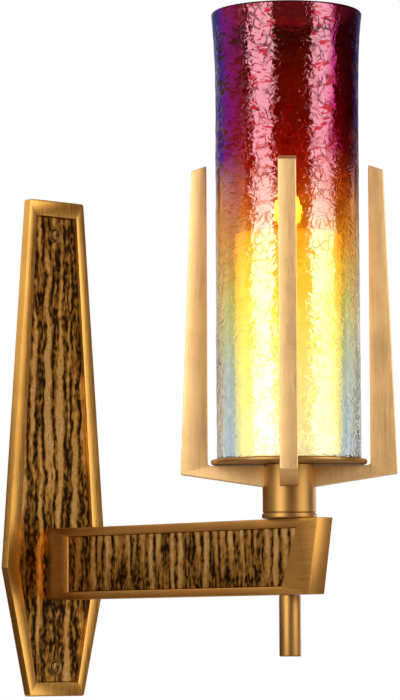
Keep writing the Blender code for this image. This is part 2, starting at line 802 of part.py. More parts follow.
def main():
    clear_scene()
    parts = collection("sanctuary_lamp")
    cutters = collection("cutters")
    finishes = make_materials()
    head_axis = joint_empty("head_axis", AXIS + Vector((0.0, 0.0, HUB_Z)), parts)
    tail_axis = joint_empty(
        "tail_axis", AXIS + Vector((0.0, 0.0, TAIL_TOP_Z)), parts, head_axis
    )
    seat = AXIS + Vector((0.0, 0.0, SEAT_Z))
    glass_axis = joint_empty("glass_axis", seat, parts, head_axis)
    candle_axis = joint_empty("candle_axis", seat, parts, head_axis)

    make_wall_plate(parts, cutters, finishes)
    make_plate_inlay(parts, finishes)
    make_wall_screws(parts, finishes)
    make_arm(parts, cutters, finishes)
    make_arm_inlays(parts, finishes)
    make_arm_screws(parts, cutters, finishes)

    make_tail_rod(parts, tail_axis, finishes)
    make_stud_and_nut(parts, head_axis, finishes)
    make_base_ring(parts, head_axis, finishes)
    make_hub(parts, cutters, head_axis, finishes)
    make_fins(parts, cutters, head_axis, finishes)
    make_fin_screws(parts, cutters, head_axis, finishes)
    make_plug(parts, head_axis, finishes)
    make_disc(parts, cutters, head_axis, finishes)

    make_glass(parts, glass_axis, finishes)
    make_candle(parts, candle_axis, finishes)


main()
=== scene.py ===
"""Sanctuary lamp: the looks of its bronze bracket and head, its crackle glass and its burning candle."""

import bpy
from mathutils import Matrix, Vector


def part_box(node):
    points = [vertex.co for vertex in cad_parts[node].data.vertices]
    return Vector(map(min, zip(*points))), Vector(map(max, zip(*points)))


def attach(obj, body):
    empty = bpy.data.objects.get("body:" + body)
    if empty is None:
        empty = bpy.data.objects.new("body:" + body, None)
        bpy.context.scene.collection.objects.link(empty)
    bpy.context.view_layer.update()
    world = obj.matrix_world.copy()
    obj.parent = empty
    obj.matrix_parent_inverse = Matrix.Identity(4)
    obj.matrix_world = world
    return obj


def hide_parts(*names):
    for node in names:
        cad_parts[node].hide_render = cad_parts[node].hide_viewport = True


bl_info = {
    "name": "Sanctuary Lamp",
    "version": (1, 0, 0),
    "blender": (4, 5, 0),
    "location": "3D View > Sidebar > Lamp",
    "description": "Builds a wall-hung sanctuary lamp piece by piece",
    "category": "Add Mesh",
}

import math

import bmesh
import bpy
from bpy.props import FloatProperty, IntProperty, PointerProperty
from mathutils import Matrix, Vector

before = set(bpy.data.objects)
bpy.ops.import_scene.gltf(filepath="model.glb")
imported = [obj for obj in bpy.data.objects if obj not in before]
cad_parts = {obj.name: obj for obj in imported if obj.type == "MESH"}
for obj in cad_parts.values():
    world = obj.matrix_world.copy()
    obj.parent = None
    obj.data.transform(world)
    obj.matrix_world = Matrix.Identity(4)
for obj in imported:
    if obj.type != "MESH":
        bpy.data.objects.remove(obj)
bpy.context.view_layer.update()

MM = 0.001
QUARTER = math.pi / 2
PLATE_LOW, PLATE_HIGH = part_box("wall_plate")
PANEL_LOW, PANEL_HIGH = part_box("plate_bark_inlay")
ARM_LOW, ARM_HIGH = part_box("arm")
SIDE_PANEL_LOW, SIDE_PANEL_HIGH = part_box("arm_bark_inlay_right")
HUB_LOW, HUB_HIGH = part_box("hub")
RING_LOW, RING_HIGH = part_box("hub_base_ring")
DISC_LOW, DISC_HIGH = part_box("gallery_disc")
TAIL_LOW, TAIL_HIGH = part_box("tail_rod")
GLASS_LOW, GLASS_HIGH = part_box("glass_cylinder")
CANDLE_LOW, CANDLE_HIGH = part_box("candle")
WICK_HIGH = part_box("wick")[1]
AXIS = Vector((0.0, (HUB_LOW.y + HUB_HIGH.y) / 2, 0.0))
FIN_PLACES = ("back_right", "back_left", "front_left", "front_right")


def radius_of(low, high):
    """Half of a box's width, from its two corners."""
    return (high.x - low.x) / 2


# ---------------------------------------------------------------- colours and nodes


def linear(code):
    """An sRGB hex colour as linear red, green, blue and 1."""
    parts = [int(code[i : i + 2], 16) / 255 for i in (1, 3, 5)]
    return (*[c / 12.92 if c <= 0.04045 else ((c + 0.055) / 1.055) ** 2.4 for c in parts], 1.0)


def add(tree, kind, inputs=(), out=0, **settings):
    """Adds a node with its settings, sets or links its inputs, and returns the output asked for."""
    node = tree.nodes.new(kind)
    for key, value in settings.items():
        setattr(node, key, value)
    for key, value in dict(inputs).items():
        if isinstance(value, bpy.types.NodeSocket):
            tree.links.new(value, node.inputs[key])
        else:
            node.inputs[key].default_value = value
    return node.outputs[out] if node.outputs else node


def calc(tree, operation, *values):
    """A number worked out from others."""
    return add(tree, "ShaderNodeMath", dict(enumerate(values)), operation=operation)


def calc_vector(tree, operation, *values, out=0):
    """A vector worked out from others, or its length."""
    return add(tree, "ShaderNodeVectorMath", dict(enumerate(values)), out=out, operation=operation)


def scaled(tree, value, before=(0.0, 1.0), after=(0.0, 1.0), interpolation_type="LINEAR"):
    """Takes a number from one range to another, and holds it there."""
    limits = {"From Min": before[0], "From Max": before[1], "To Min": after[0], "To Max": after[1]}
    return add(tree, "ShaderNodeMapRange", {"Value": value, **limits}, interpolation_type=interpolation_type)


def noise(tree, place, scale, detail, rough=0.5, out=0):
    values = {"Vector": place, "Scale": scale, "Detail": detail, "Roughness": rough}
    return add(tree, "ShaderNodeTexNoise", values, out=out)


def mixed(tree, share, first, second, blend_type="MIX"):
    """A colour that goes from the first to the second as the share grows."""
    values = {0: share, 6: first, 7: second}
    return add(tree, "ShaderNodeMix", values, out=2, data_type="RGBA", blend_type=blend_type)


def height_of(tree, place):
    return add(tree, "ShaderNodeSeparateXYZ", {"Vector": place}, out="Z")


def bumped(tree, height, strength, distance):
    return add(tree, "ShaderNodeBump", {"Height": height, "Strength": strength, "Distance": distance})


def ramp(tree, factor, stops):
    """A colour ramp over (place, hex colour) stops."""
    socket = add(tree, "ShaderNodeValToRGB", {"Fac": factor})
    elements = socket.node.color_ramp.elements
    while len(elements) < len(stops):
        elements.new(1.0)
    for element, (place, colour) in zip(elements, stops):
        element.position = place
        element.color = linear(colour)
    return socket


def new_material(name):
    """An empty node material, its tree and the place of each point in its piece."""
    made = bpy.data.materials.new(name)
    made.use_nodes = True
    made.node_tree.nodes.clear()
    return made, made.node_tree, add(made.node_tree, "ShaderNodeTexCoord", out="Object")


def surfaced(material, shader):
    add(material.node_tree, "ShaderNodeOutputMaterial", {"Surface": shader})
    return material


def metal(tree, colour, rough, **others):
    values = {"Base Color": colour, "Metallic": 1.0, "Roughness": rough}
    return add(tree, "ShaderNodeBsdfPrincipled", {**values, **others})


# ---------------------------------------------------------------- shape tools


def new_piece(name, data):
    """An object for a mesh, a light or a camera, in the scene."""
    made = bpy.data.objects.new(name, data)
    bpy.context.scene.collection.objects.link(made)
    return made


def mesh_from(shape, name):
    """Turns a bmesh into a mesh whose faces point outwards."""
    bmesh.ops.remove_doubles(shape, verts=shape.verts, dist=1e-7)
    bmesh.ops.recalc_face_normals(shape, faces=shape.faces)
    mesh = bpy.data.meshes.new(name)
    shape.to_mesh(mesh)
    shape.free()
    return mesh


def settle(piece):
    """Applies a piece's modifiers to its mesh."""
    graph = bpy.context.evaluated_depsgraph_get()
    mesh = bpy.data.meshes.new_from_object(piece.evaluated_get(graph))
    piece.modifiers.clear()
    old = piece.data
    piece.data = mesh
    mesh.name = piece.name
    bpy.data.meshes.remove(old)


def shade(piece, angle=35):
    piece.data.shade_smooth()
    piece.data.set_sharp_from_angle(angle=math.radians(angle))


def finish(piece, material, slot, body, *nodes):
    """Gives a finished piece its material, ties it to its body and hides the nodes it stands for."""
    if material:
        piece.data.materials.clear()
        piece.data.materials.append(material)
    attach(piece, body)
    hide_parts(*nodes)


def arc(x, y, radius, start, end, steps=6):
    """Points along an arc, from one angle in degrees to another."""
    turns = [math.radians(start + (end - start) * i / steps) for i in range(steps + 1)]
    return [(x + radius * math.cos(turn), y + radius * math.sin(turn)) for turn in turns]


def rim_arcs(radius, low, high, bend, steps):
    """The rounded upper and lower edges of something turned."""
    upper = arc(radius - bend, high - bend, bend, 90, 0, steps)
    return upper + arc(radius - bend, low + bend, bend, 0, -90, steps)


def rounded(outline, radius, steps=5):
    """A closed outline with each corner rounded."""
    points = []
    for i, corner in enumerate(outline):
        here = Vector(corner)
        back = (Vector(outline[i - 1]) - here).normalized()
        ahead = (Vector(outline[(i + 1) % len(outline)]) - here).normalized()
        half = back.angle(ahead) / 2
        middle = here + (back + ahead).normalized() * (radius / math.sin(half))
        first = here + back * (radius / math.tan(half)) - middle
        last = here + ahead * (radius / math.tan(half)) - middle
        sweep = first.angle_signed(last)
        for step in range(steps + 1):
            point = first.copy()
            point.rotate(Matrix.Rotation(-sweep * step / steps, 2))
            points.append(tuple(middle + point))
    return points


def prism(name, outline, low, high, place):
    """A flat piece: place(a, b, depth) gives the point for each outline point at both depths."""
    shape = bmesh.new()
    face = shape.faces.new([shape.verts.new(place(a, b, low)) for a, b in outline])
    grown = bmesh.ops.extrude_face_region(shape, geom=[face])["geom"]
    copies = [v for v in grown if isinstance(v, bmesh.types.BMVert)]
    for vert, (a, b) in zip(copies, outline):
        vert.co = place(a, b, high)
    return new_piece(name, mesh_from(shape, name))


def facing_room(x, z, depth):
    """Places an outline in x and z, with its depth measured from the wall."""
    return (x, -depth, z)


def seen_from_side(out, z, depth):
    """Places an outline in distance from the wall and height, with its depth along X."""
    return (depth, -out, z)


def lying_flat(x, y, depth):
    """Places an outline in x and y, with its depth upwards."""
    return (x, y, depth)


def block(name, start, end, half_width, low, high):
    """An upright block between two distances along X."""
    outline = [(start, -half_width), (end, -half_width), (end, half_width), (start, half_width)]
    return prism(name, outline, low, high, lying_flat)


def lathe(name, profile, sides=96, closed=True, centre=AXIS):
    """A shape turned round the upright axis through centre from (radius, height) points."""
    shape = bmesh.new()
    turns = [(math.cos(2 * math.pi * i / sides), math.sin(2 * math.pi * i / sides)) for i in range(sides)]
    rings = []
    for radius, z in profile:
        if radius < 1e-9:
            rings.append([shape.verts.new((centre.x, centre.y, z))] * sides)
        else:
            points = [(centre.x + radius * c, centre.y + radius * s, z) for c, s in turns]
            rings.append([shape.verts.new(point) for point in points])
    pairs = list(zip(rings, rings[1:])) + ([(rings[-1], rings[0])] if closed else [])
    for upper, lower in pairs:
        for i in range(sides):
            corners = [upper[i], lower[i], lower[(i + 1) % sides], upper[(i + 1) % sides]]
            distinct = list(dict.fromkeys(corners))
            if len(distinct) > 2:
                shape.faces.new(distinct)
    return new_piece(name, mesh_from(shape, name))


def spun(name, profile, sides=40, centre=Vector()):
    """A solid turned about the origin or another centre, from its middle out and back to its middle."""
    return lathe(name, profile, sides, closed=False, centre=centre)


def rod(name, radius, low, high, sides=40, centre=Vector()):
    """An upright rod about the origin or another centre."""
    return spun(name, [(0.0, high), (radius, high), (radius, low), (0.0, low)], sides, centre)


def carve(piece, *cutters):
    """Cuts pieces out of a piece and removes them."""
    for cutter in cutters:
        boolean = piece.modifiers.new("cut", "BOOLEAN")
        boolean.operation = "DIFFERENCE"
        boolean.object = cutter
    settle(piece)
    for cutter in cutters:
        bpy.data.objects.remove(cutter)


def soften(piece, width, segments=3, angle=30):
    """Merges flat faces and rounds every edge that is sharper than the angle."""
    shape = bmesh.new()
    shape.from_mesh(piece.data)
    bmesh.ops.remove_doubles(shape, verts=shape.verts, dist=1e-6)
    bmesh.ops.dissolve_limit(shape, angle_limit=math.radians(0.5), verts=shape.verts, edges=shape.edges)
    sharp = [e for e in shape.edges if len(e.link_faces) == 2 and e.calc_face_angle() > math.radians(angle)]
    bmesh.ops.bevel(
        shape, geom=sharp, offset=width, offset_type="OFFSET", segments=segments,
        profile=0.5, affect="EDGES", clamp_overlap=True,
    )
    piece.data = mesh_from(shape, piece.name)
    shade(piece)


def moved(piece, matrix):
    piece.data.transform(matrix)
    return piece


# ---------------------------------------------------------------- geometry node trees


def node_tree(name, **kinds):
    """A geometry node tree with named inputs of each kind, and the sockets that they arrive at."""
    tree = bpy.data.node_groups.new(name, "GeometryNodeTree")
    for way in ("OUTPUT", "INPUT"):
        tree.interface.new_socket("Geometry", in_out=way, socket_type="NodeSocketGeometry")
    for kind, titles in kinds.items():
        for title in titles:
            tree.interface.new_socket(title, in_out="INPUT", socket_type="NodeSocket" + kind)
    return tree, add(tree, "NodeGroupInput").node.outputs


def dressed(tree, shape, material):
    """Ends a tree with real geometry that wears the material."""
    real = add(tree, "GeometryNodeRealizeInstances", {"Geometry": shape})
    worn = add(tree, "GeometryNodeSetMaterial", {"Geometry": real, "Material": material})
    add(tree, "NodeGroupOutput", {"Geometry": worn})
    return tree


def read_back(tree, name, data_type="FLOAT"):
    """A value that each point of the mesh carries."""
    return add(tree, "GeometryNodeInputNamedAttribute", {"Name": name}, data_type=data_type)


def run_tree(piece, tree, values):
    """Runs a tree on a piece with its inputs set by name, and keeps the result as a plain mesh."""
    modifier = piece.modifiers.new(tree.name, "NODES")
    modifier.node_group = tree
    sockets = {s.name: s.identifier for s in tree.interface.items_tree if s.in_out == "INPUT"}
    for title, value in values.items():
        modifier[sockets[title]] = value
    settle(piece)


def copies_tree():
    """Copies an object along a row, and turns each copy a further step round the upright axis."""
    tree, put = node_tree(
        "copies", Object=["Piece"], Int=["Count"], Vector=["Step", "Centre"], Float=["First Turn", "Turn"],
        Material=["Material"],
    )
    row = {"Count": put["Count"], "Start Location": put["Centre"], "Offset": put["Step"]}
    line = add(tree, "GeometryNodeMeshLine", row)
    index = add(tree, "GeometryNodeInputIndex")
    turn = calc(tree, "MULTIPLY_ADD", index, put["Turn"], put["First Turn"])
    spin = add(tree, "ShaderNodeCombineXYZ", {"Z": turn})
    master = add(tree, "GeometryNodeObjectInfo", {"Object": put["Piece"]}, out="Geometry")
    row = {"Points": line, "Instance": master, "Rotation": spin}
    return dressed(tree, add(tree, "GeometryNodeInstanceOnPoints", row), put["Material"])


def copies(name, master, material, count, step=(0, 0, 0), centre=(0, 0, 0), first_turn=0.0, turn=0.0):
    """Copies of a master piece, made by the copies tree. The master is modelled about the origin."""
    tree = bpy.data.node_groups.get("copies") or copies_tree()
    made = new_piece(name, bpy.data.meshes.new(name))
    values = {
        "Piece": master, "Count": count, "Step": Vector(step), "First Turn": first_turn, "Turn": turn,
        "Centre": Vector(centre), "Material": material,
    }
    run_tree(made, tree, values)
    bpy.data.objects.remove(master)
    return made


def bark_tree():
    """Raises a panel's front into long cast ridges with pits, and stores how high each point lies."""
    tree, put = node_tree(
        "bark", Vector=["Outwards"], Material=["Material"],
        Float=[
            "Ridge Pitch", "Ridge Length", "Ridge Height", "Ridge Low", "Ridge High", "Wander", "Randomness",
            "Pit Size", "Seed",
        ],
    )
    across = read_back(tree, "across")
    along = read_back(tree, "along")
    front = read_back(tree, "front")
    place = add(tree, "ShaderNodeCombineXYZ", {"X": across, "Y": along, "Z": put["Seed"]})

    # Ridges wander sideways as they run.
    bends = noise(tree, place, calc(tree, "DIVIDE", 0.35, put["Ridge Pitch"]), 2.0, 0.55)
    side = calc(tree, "MULTIPLY_ADD", calc(tree, "SUBTRACT", bends, 0.5), put["Wander"], across)
    cell_x = calc(tree, "DIVIDE", side, put["Ridge Pitch"])
    cell_y = calc(tree, "DIVIDE", along, put["Ridge Length"])
    cell = add(tree, "ShaderNodeCombineXYZ", {"X": cell_x, "Y": cell_y, "Z": put["Seed"]})
    values = {"Vector": cell, "Scale": 1.0, "Randomness": put["Randomness"]}
    edge = add(tree, "ShaderNodeTexVoronoi", values, feature="DISTANCE_TO_EDGE", voronoi_dimensions="2D")
    ridge = scaled(tree, edge, (put["Ridge Low"], put["Ridge High"]), interpolation_type="SMOOTHSTEP")

    # Fine streaks run the same way.
    streak_x = calc(tree, "MULTIPLY", side, calc(tree, "DIVIDE", 0.75, put["Pit Size"]))
    streak_y = calc(tree, "MULTIPLY", along, calc(tree, "DIVIDE", 0.09, put["Pit Size"]))
    streak_place = add(tree, "ShaderNodeCombineXYZ", {"X": streak_x, "Y": streak_y, "Z": put["Seed"]})
    streaks = noise(tree, streak_place, 1.0, 3.0, 0.6)
    streak_height = scaled(tree, streaks, (0.32, 0.68), (-0.06, 0.36))
    barked = calc(tree, "MULTIPLY_ADD", ridge, 0.84, streak_height)

    # Lumps along the ridges, and pits that eat into everything.
    pit_rate = calc(tree, "DIVIDE", 1.0, put["Pit Size"])
    lumps = noise(tree, place, calc(tree, "DIVIDE", 0.32, put["Pit Size"]), 3.0, 0.6)
    lump_height = scaled(tree, lumps, (0.3, 0.68), (0.66, 1.12))
    high = calc(tree, "MULTIPLY", barked, lump_height)
    drawn = calc_vector(tree, "MULTIPLY", place, (1.0, 0.42, 1.0))
    pits = add(tree, "ShaderNodeTexVoronoi", {"Vector": drawn, "Scale": pit_rate}, feature="SMOOTH_F1")
    pit_depth = scaled(tree, pits, (0.1, 0.5), (-0.22, 0.0))
    rough = noise(tree, drawn, pit_rate, 1.5, 0.6)
    rough_height = scaled(tree, rough, (0.3, 0.7), (-0.14, 0.14))
    total = calc(tree, "ADD", calc(tree, "ADD", high, pit_depth), rough_height)
    relief = calc(tree, "MINIMUM", calc(tree, "MAXIMUM", total, -0.25), 1.2)

    values = {"Geometry": put["Geometry"], "Name": "relief", "Value": relief}
    stored = add(tree, "GeometryNodeStoreNamedAttribute", values, data_type="FLOAT", domain="POINT")
    shown = calc(tree, "MULTIPLY", calc(tree, "MULTIPLY", relief, put["Ridge Height"]), front)
    offset = add(tree, "ShaderNodeVectorMath", {0: put["Outwards"], "Scale": shown}, operation="SCALE")
    raised = add(tree, "GeometryNodeSetPosition", {"Geometry": stored, "Offset": offset})
    return dressed(tree, raised, put["Material"])


def crackle_tree():
    """Gives the glass wall its hand-blown waves and domed crackle, and lifts its chipped lower edge."""
    tree, put = node_tree(
        "crackle", Float=["Wave", "Dome", "Cell", "Chip", "Foot", "Seed"], Material=["Material"]
    )
    outside = read_back(tree, "outside")
    out_way = read_back(tree, "outwards", "FLOAT_VECTOR")
    place = add(tree, "GeometryNodeInputPosition")
    seed = add(tree, "ShaderNodeCombineXYZ", {"X": put["Seed"], "Y": put["Seed"], "Z": put["Seed"]})
    shifted = calc_vector(tree, "ADD", place, seed)
    wave = noise(tree, calc_vector(tree, "MULTIPLY", shifted, (1.0, 1.0, 0.45)), 38.0, 1.0)
    waved = calc(tree, "MULTIPLY", scaled(tree, wave, (0.3, 0.7), (-1.0, 0.0)), put["Wave"])
    twist = noise(tree, shifted, 90.0, 2.0, out="Color")
    twisted = calc_vector(tree, "MULTIPLY_ADD", twist, (0.007, 0.007, 0.007), shifted)
    rate = calc(tree, "DIVIDE", 1.0, put["Cell"])
    cells = add(tree, "ShaderNodeTexVoronoi", {"Vector": twisted, "Scale": rate}, feature="SMOOTH_F1")
    dome = scaled(tree, cells, (0.1, 0.6), (0.0, -1.0))
    domed = calc(tree, "MULTIPLY_ADD", dome, put["Dome"], waved)
    on_outside = calc(tree, "MULTIPLY", domed, outside)
    push = add(tree, "ShaderNodeVectorMath", {0: out_way, "Scale": on_outside}, operation="SCALE")
    rippled = add(tree, "GeometryNodeSetPosition", {"Geometry": put["Geometry"], "Offset": push})
    height = height_of(tree, place)
    foot_top = calc(tree, "ADD", put["Foot"], 0.004)
    near_foot = scaled(tree, height, (put["Foot"], foot_top), (1.0, 0.0))
    chips = scaled(tree, noise(tree, shifted, 220.0, 2.0), (0.42, 0.75))
    chipped = calc(tree, "MULTIPLY", chips, put["Chip"])
    lift = calc(tree, "MULTIPLY", chipped, near_foot)
    lift_way = add(tree, "ShaderNodeCombineXYZ", {"Z": lift})
    lifted = add(tree, "GeometryNodeSetPosition", {"Geometry": rippled, "Offset": lift_way})
    return dressed(tree, lifted, put["Material"])


# ---------------------------------------------------------------- materials


def satin_bronze(name, grain, colours, rough_low, rough_high, turned=False):
    """Architectural bronze, brushed with a fine abrasive and lacquered.

    It gives the eye a warm satin with soft, blurred reflections and faint lines along the brushing.
    The lines are about 0.15 mm apart on the real metal, and are drawn 0.8 mm apart so that they show.
    """
    material, tree, place = new_material(name)
    if turned:  # lines run round the axis: the pattern depends on radius and height only
        shifted = calc_vector(tree, "SUBTRACT", place, tuple(AXIS))
        flat = calc_vector(tree, "MULTIPLY", shifted, (1.0, 1.0, 0.0))
        radius = calc_vector(tree, "LENGTH", flat, out="Value")
        height = height_of(tree, place)
        lines_place = add(tree, "ShaderNodeCombineXYZ", {"X": radius, "Y": height})
    else:
        lines_place = calc_vector(tree, "MULTIPLY", place, grain)
    lines = noise(tree, lines_place, 1250.0, 3.0, 0.65)
    cloud = noise(tree, place, 28.0, 3.0)
    speckle = noise(tree, place, 700.0, 2.0)
    mottled = calc(tree, "MULTIPLY_ADD", cloud, 0.5, 0.25)
    marks = 0.08 if turned else 0.35
    specks = 0.05 if turned else 0.2
    levelled = calc(tree, "ADD", mottled, (0.55 - marks - specks) / 2)
    grained = calc(tree, "MULTIPLY_ADD", lines, marks, levelled)
    toned = calc(tree, "MULTIPLY_ADD", speckle, specks, grained)
    colour = ramp(tree, toned, list(zip((0.55, 0.78, 1.0), colours)))
    rough = scaled(tree, cloud if turned else lines, (0.3, 0.7), (rough_low, rough_high))
    relief = bumped(tree, lines, marks * 0.35, 0.00012)
    return surfaced(material, metal(tree, colour, rough, Normal=relief))


def bark_bronze(name, levels):
    """Cast bronze, oxidised almost black and then rubbed back on its ridges.

    It gives the eye bright, broken metal along each ridge and a warm near-black in the hollows.
    """
    material, tree, place = new_material(name)
    relief = add(tree, "ShaderNodeAttribute", {}, out="Fac", attribute_name="relief")
    drawn = calc_vector(tree, "MULTIPLY", place, (1.0, 1.0, 0.4))
    sand = noise(tree, drawn, 620.0, 3.0, 0.6)
    patches = noise(tree, place, 160.0, 3.0, 0.6)
    sanded = calc(tree, "MULTIPLY_ADD", sand, 0.24, -0.12)
    worn = calc(tree, "MULTIPLY_ADD", patches, 0.3, -0.15)
    high = calc(tree, "ADD", relief, sanded)
    rubbed = calc(tree, "ADD", high, worn)
    colour = ramp(tree, rubbed, list(zip(levels, BARK_TONES)))
    rough = scaled(tree, rubbed, (0.1, 0.8), (0.5, 0.27))
    bump = bumped(tree, sand, 0.3, 0.0002)
    return surfaced(material, metal(tree, colour, rough, Normal=bump))


def zinc_steel():
    """Zinc-plated steel fasteners: a cool, slightly cloudy shine."""
    material, tree, place = new_material("zinc_steel")
    cloud = noise(tree, place, 400.0, 3.0)
    colour = ramp(tree, cloud, [(0.35, "#9C9EA2"), (0.65, "#C6C8CB")])
    rough = scaled(tree, cloud, (0.0, 1.0), (0.22, 0.42))
    return surfaced(material, metal(tree, colour, rough))


# ---------------------------------------------------------------- glass, wax and flame


SIDES_BEGIN = (0.24, 0.3)  # how far the glass has turned away from the eye, up to 1 at its edge
RIM_BEGINS = (0.4, 0.46)
RUBY_BEGINS = (0.5, 0.68)  # shares of the glass's height


def cased_colour_with_painted_sheen(tree, up, facing):
    """The glass's own colour by height for its middle, with painted sheen and reflection for its sides and
    its rim as they face the eye: bluish lower sides and a paler rim low down, while higher up the edges turn
    a deeper red.
    """
    middle = ramp(
        tree, up,
        [(0.0, "#F9F5E0"), (0.2, "#FAEFB8"), (0.36, "#F9E484"), (0.48, "#F6D048"), (0.57, "#E39228"),
         (0.66, "#B6321C"), (0.75, "#9E161E"), (0.9, "#96121C"), (0.96, "#520A10")],
    )
    sides = ramp(
        tree, up,
        [(0.0, "#B4CDEC"), (0.2, "#B9D2DE"), (0.34, "#C6CF9C"), (0.46, "#D2A765"), (0.57, "#C27C48"),
         (0.68, "#9A2C22"), (0.76, "#7A141B"), (0.9, "#70121C"), (0.96, "#440A14")],
    )
    rim = ramp(
        tree, up,
        [(0.0, "#FFFEF4"), (0.4, "#FFF4D0"), (0.54, "#F4C878"), (0.66, "#A8321E"), (0.76, "#6C1018"),
         (1.0, "#40101C")],
    )
    # Painted sheen and painted reflection towards the edges, by how far the glass faces away from the eye.
    to_side_sheen = scaled(tree, facing, SIDES_BEGIN, interpolation_type="SMOOTHSTEP")
    to_rim_reflection = scaled(tree, facing, RIM_BEGINS, interpolation_type="SMOOTHSTEP")
    return mixed(tree, to_rim_reflection, mixed(tree, to_side_sheen, middle, sides), rim)


def lustre_colour(tree, up, facing, wrinkles):
    """The lustre's tint and its share of the surface: strong over ruby, faint and pale lower down."""
    over_ruby = ramp(
        tree, facing,
        [(0.0, "#FFACB8"), (0.16, "#FFA6BE"), (0.24, "#C41C80"), (0.42, "#9C1C9A"), (0.62, "#581CA4"),
         (0.76, "#1C2CB0"), (0.9, "#1C3CC0")],
    )
    pale = ramp(tree, facing, [(0.0, "#FFFCEE"), (0.3, "#F5E6C8"), (0.85, "#CFDCF2")])
    is_ruby = scaled(tree, up, RUBY_BEGINS)
    dip = scaled(tree, wrinkles, (0.47, 0.38))
    dips = mixed(tree, dip, over_ruby, linear("#D42C4C"), blend_type="MULTIPLY")
    high = ramp(tree, facing, [(0.0, "#747474"), (0.2, "#7C7C7C"), (0.34, "#A8A8A8"), (0.6, "#D8D8D8")])
    low = scaled(tree, facing, (0.0, 0.5), (0.22, 0.02))
    share = add(tree, "ShaderNodeMix", {0: is_ruby, 2: low, 3: high}, data_type="FLOAT")
    return mixed(tree, is_ruby, pale, dips), share


def crackle_glass(look):
    """Hand-blown soda-lime glass, cased in ruby that fades to clear amber, crackled and lustred.

    It gives the eye deep red above, gold light round the flame, a net of fine gold cracks, and a
    metallic lustre that turns from pink through violet to blue towards the glass's edges.
    """
    material, tree, place = new_material("crackle_glass")
    drifted = calc(tree, "MULTIPLY_ADD", noise(tree, place, 45.0, 3.0), 0.03, height_of(tree, place))
    up = scaled(tree, drifted, (GLASS_LOW.z + 0.015, GLASS_HIGH.z + 0.015))
    facing = add(tree, "ShaderNodeLayerWeight", {"Blend": 0.5}, out="Facing")

    body = cased_colour_with_painted_sheen(tree, up, facing)

    # Cracks: a net of fine lines, drawn 0.5 mm wide so that they show.
    twist = noise(tree, place, 130.0, 3.0, out="Color")
    twisted = calc_vector(tree, "MULTIPLY_ADD", twist, (0.006, 0.006, 0.006), place)
    stretched = calc_vector(tree, "MULTIPLY", twisted, (1.0, 1.0, 0.62))
    net = {"Vector": stretched, "Scale": 215.0}
    cracks = add(tree, "ShaderNodeTexVoronoi", net, feature="DISTANCE_TO_EDGE")
    crack = scaled(tree, cracks, (0.03, 0.15), (1.0, 0.0), interpolation_type="SMOOTHSTEP")
    some = scaled(tree, noise(tree, place, 85.0, 2.0), (0.42, 0.58))
    some_cracks = calc(tree, "MULTIPLY", crack, some)
    low_down = ramp(
        tree, up,
        [(0.0, "#404040"), (0.22, "#6A6A6A"), (0.4, "#D8D8D8"), (0.66, "#E0E0E0"), (0.88, "#404040")],
    )
    shown = calc(tree, "MULTIPLY", some_cracks, low_down)
    vein = ramp(
        tree, up,
        [(0.2, "#FFF0B8"), (0.5, "#FFD467"), (0.64, "#FFA040"), (0.74, "#FF5A2C"), (0.9, "#C82822")],
    )
    colour = mixed(tree, shown, body, vein)

    # Wrinkles lie across the glass, and are deeper in some places than in others.
    across = calc_vector(tree, "MULTIPLY", twisted, (1.0, 1.0, 2.6))
    folds = {"Vector": across, "Scale": 95.0, "Detail": 2.0, "Distortion": 1.1}
    wrinkles = add(tree, "ShaderNodeTexNoise", folds)
    calm = noise(tree, place, 30.0, 1.0)
    depth = scaled(tree, calm, (0.35, 0.65), (0.8 * look.crackle, 1.9 * look.crackle))
    deep = calc(tree, "MULTIPLY", wrinkles, depth)
    grooved = calc(tree, "MULTIPLY_ADD", some_cracks, -0.12 * look.crackle, deep)
    bump = bumped(tree, grooved, 1.0, 0.001)

    # The glass bends light less than real glass does, so that its edges stay clear of the dark room.
    glass = add(
        tree, "ShaderNodeBsdfPrincipled",
        {
            "Base Color": colour, "Roughness": 0.0, "IOR": 1.2, "Transmission Weight": 1.0,
            "Specular IOR Level": 0.6, "Normal": bump,
        },
    )
    tint, share = lustre_colour(tree, up, facing, wrinkles)
    lustre = metal(tree, tint, 0.06, **{"Specular Tint": tint}, Normal=bump)
    outside = add(tree, "ShaderNodeAttribute", {}, out="Fac", attribute_name="outside")
    whole_skin = calc(tree, "MULTIPLY_ADD", some_cracks, -0.8, 1.0)
    share = calc(tree, "MULTIPLY", share, calc(tree, "MULTIPLY", outside, whole_skin))
    coated = add(tree, "ShaderNodeMixShader", {0: share, 1: glass, 2: lustre})

    # Lamps shine through the wall, tinted, so that the candle inside is lit.
    shadow = add(tree, "ShaderNodeLightPath", out="Is Shadow Ray")
    lit_through = add(tree, "ShaderNodeBsdfTransparent", {"Color": colour})
    surface = add(tree, "ShaderNodeMixShader", {0: shadow, 1: coated, 2: lit_through})
    return surfaced(material, surface)


def candle_wax(look):
    """Blended wax, lit from within by its own flame.

    It gives the eye a smooth cream body that glows, most strongly near the pool.
    """
    material, tree, place = new_material("candle_wax")
    height = height_of(tree, place)
    up = scaled(tree, height, (CANDLE_LOW.z, CANDLE_HIGH.z))
    cloud = noise(tree, place, 30.0, 4.0)
    colour = ramp(tree, cloud, [(0.3, "#F3E3B4"), (0.7, "#FAF0CE")])
    glow = ramp(tree, up, [(0.0, "#FFEFC0"), (0.55, "#FFEDB0"), (0.9, "#FFDF8A"), (1.0, "#FFC860")])
    strength = scaled(tree, up, (0.0, 1.0), (look.glow * 0.6, look.glow))
    skin = noise(tree, place, 180.0, 2.0)
    bump = bumped(tree, skin, 0.15, 0.0004)
    shader = add(
        tree, "ShaderNodeBsdfPrincipled",
        {
            "Base Color": colour, "Roughness": 0.42, "IOR": 1.44,
            "Subsurface Weight": 0.25, "Subsurface Scale": 0.01,
            "Emission Color": glow, "Emission Strength": strength, "Normal": bump,
        },
    )
    return surfaced(material, shader)


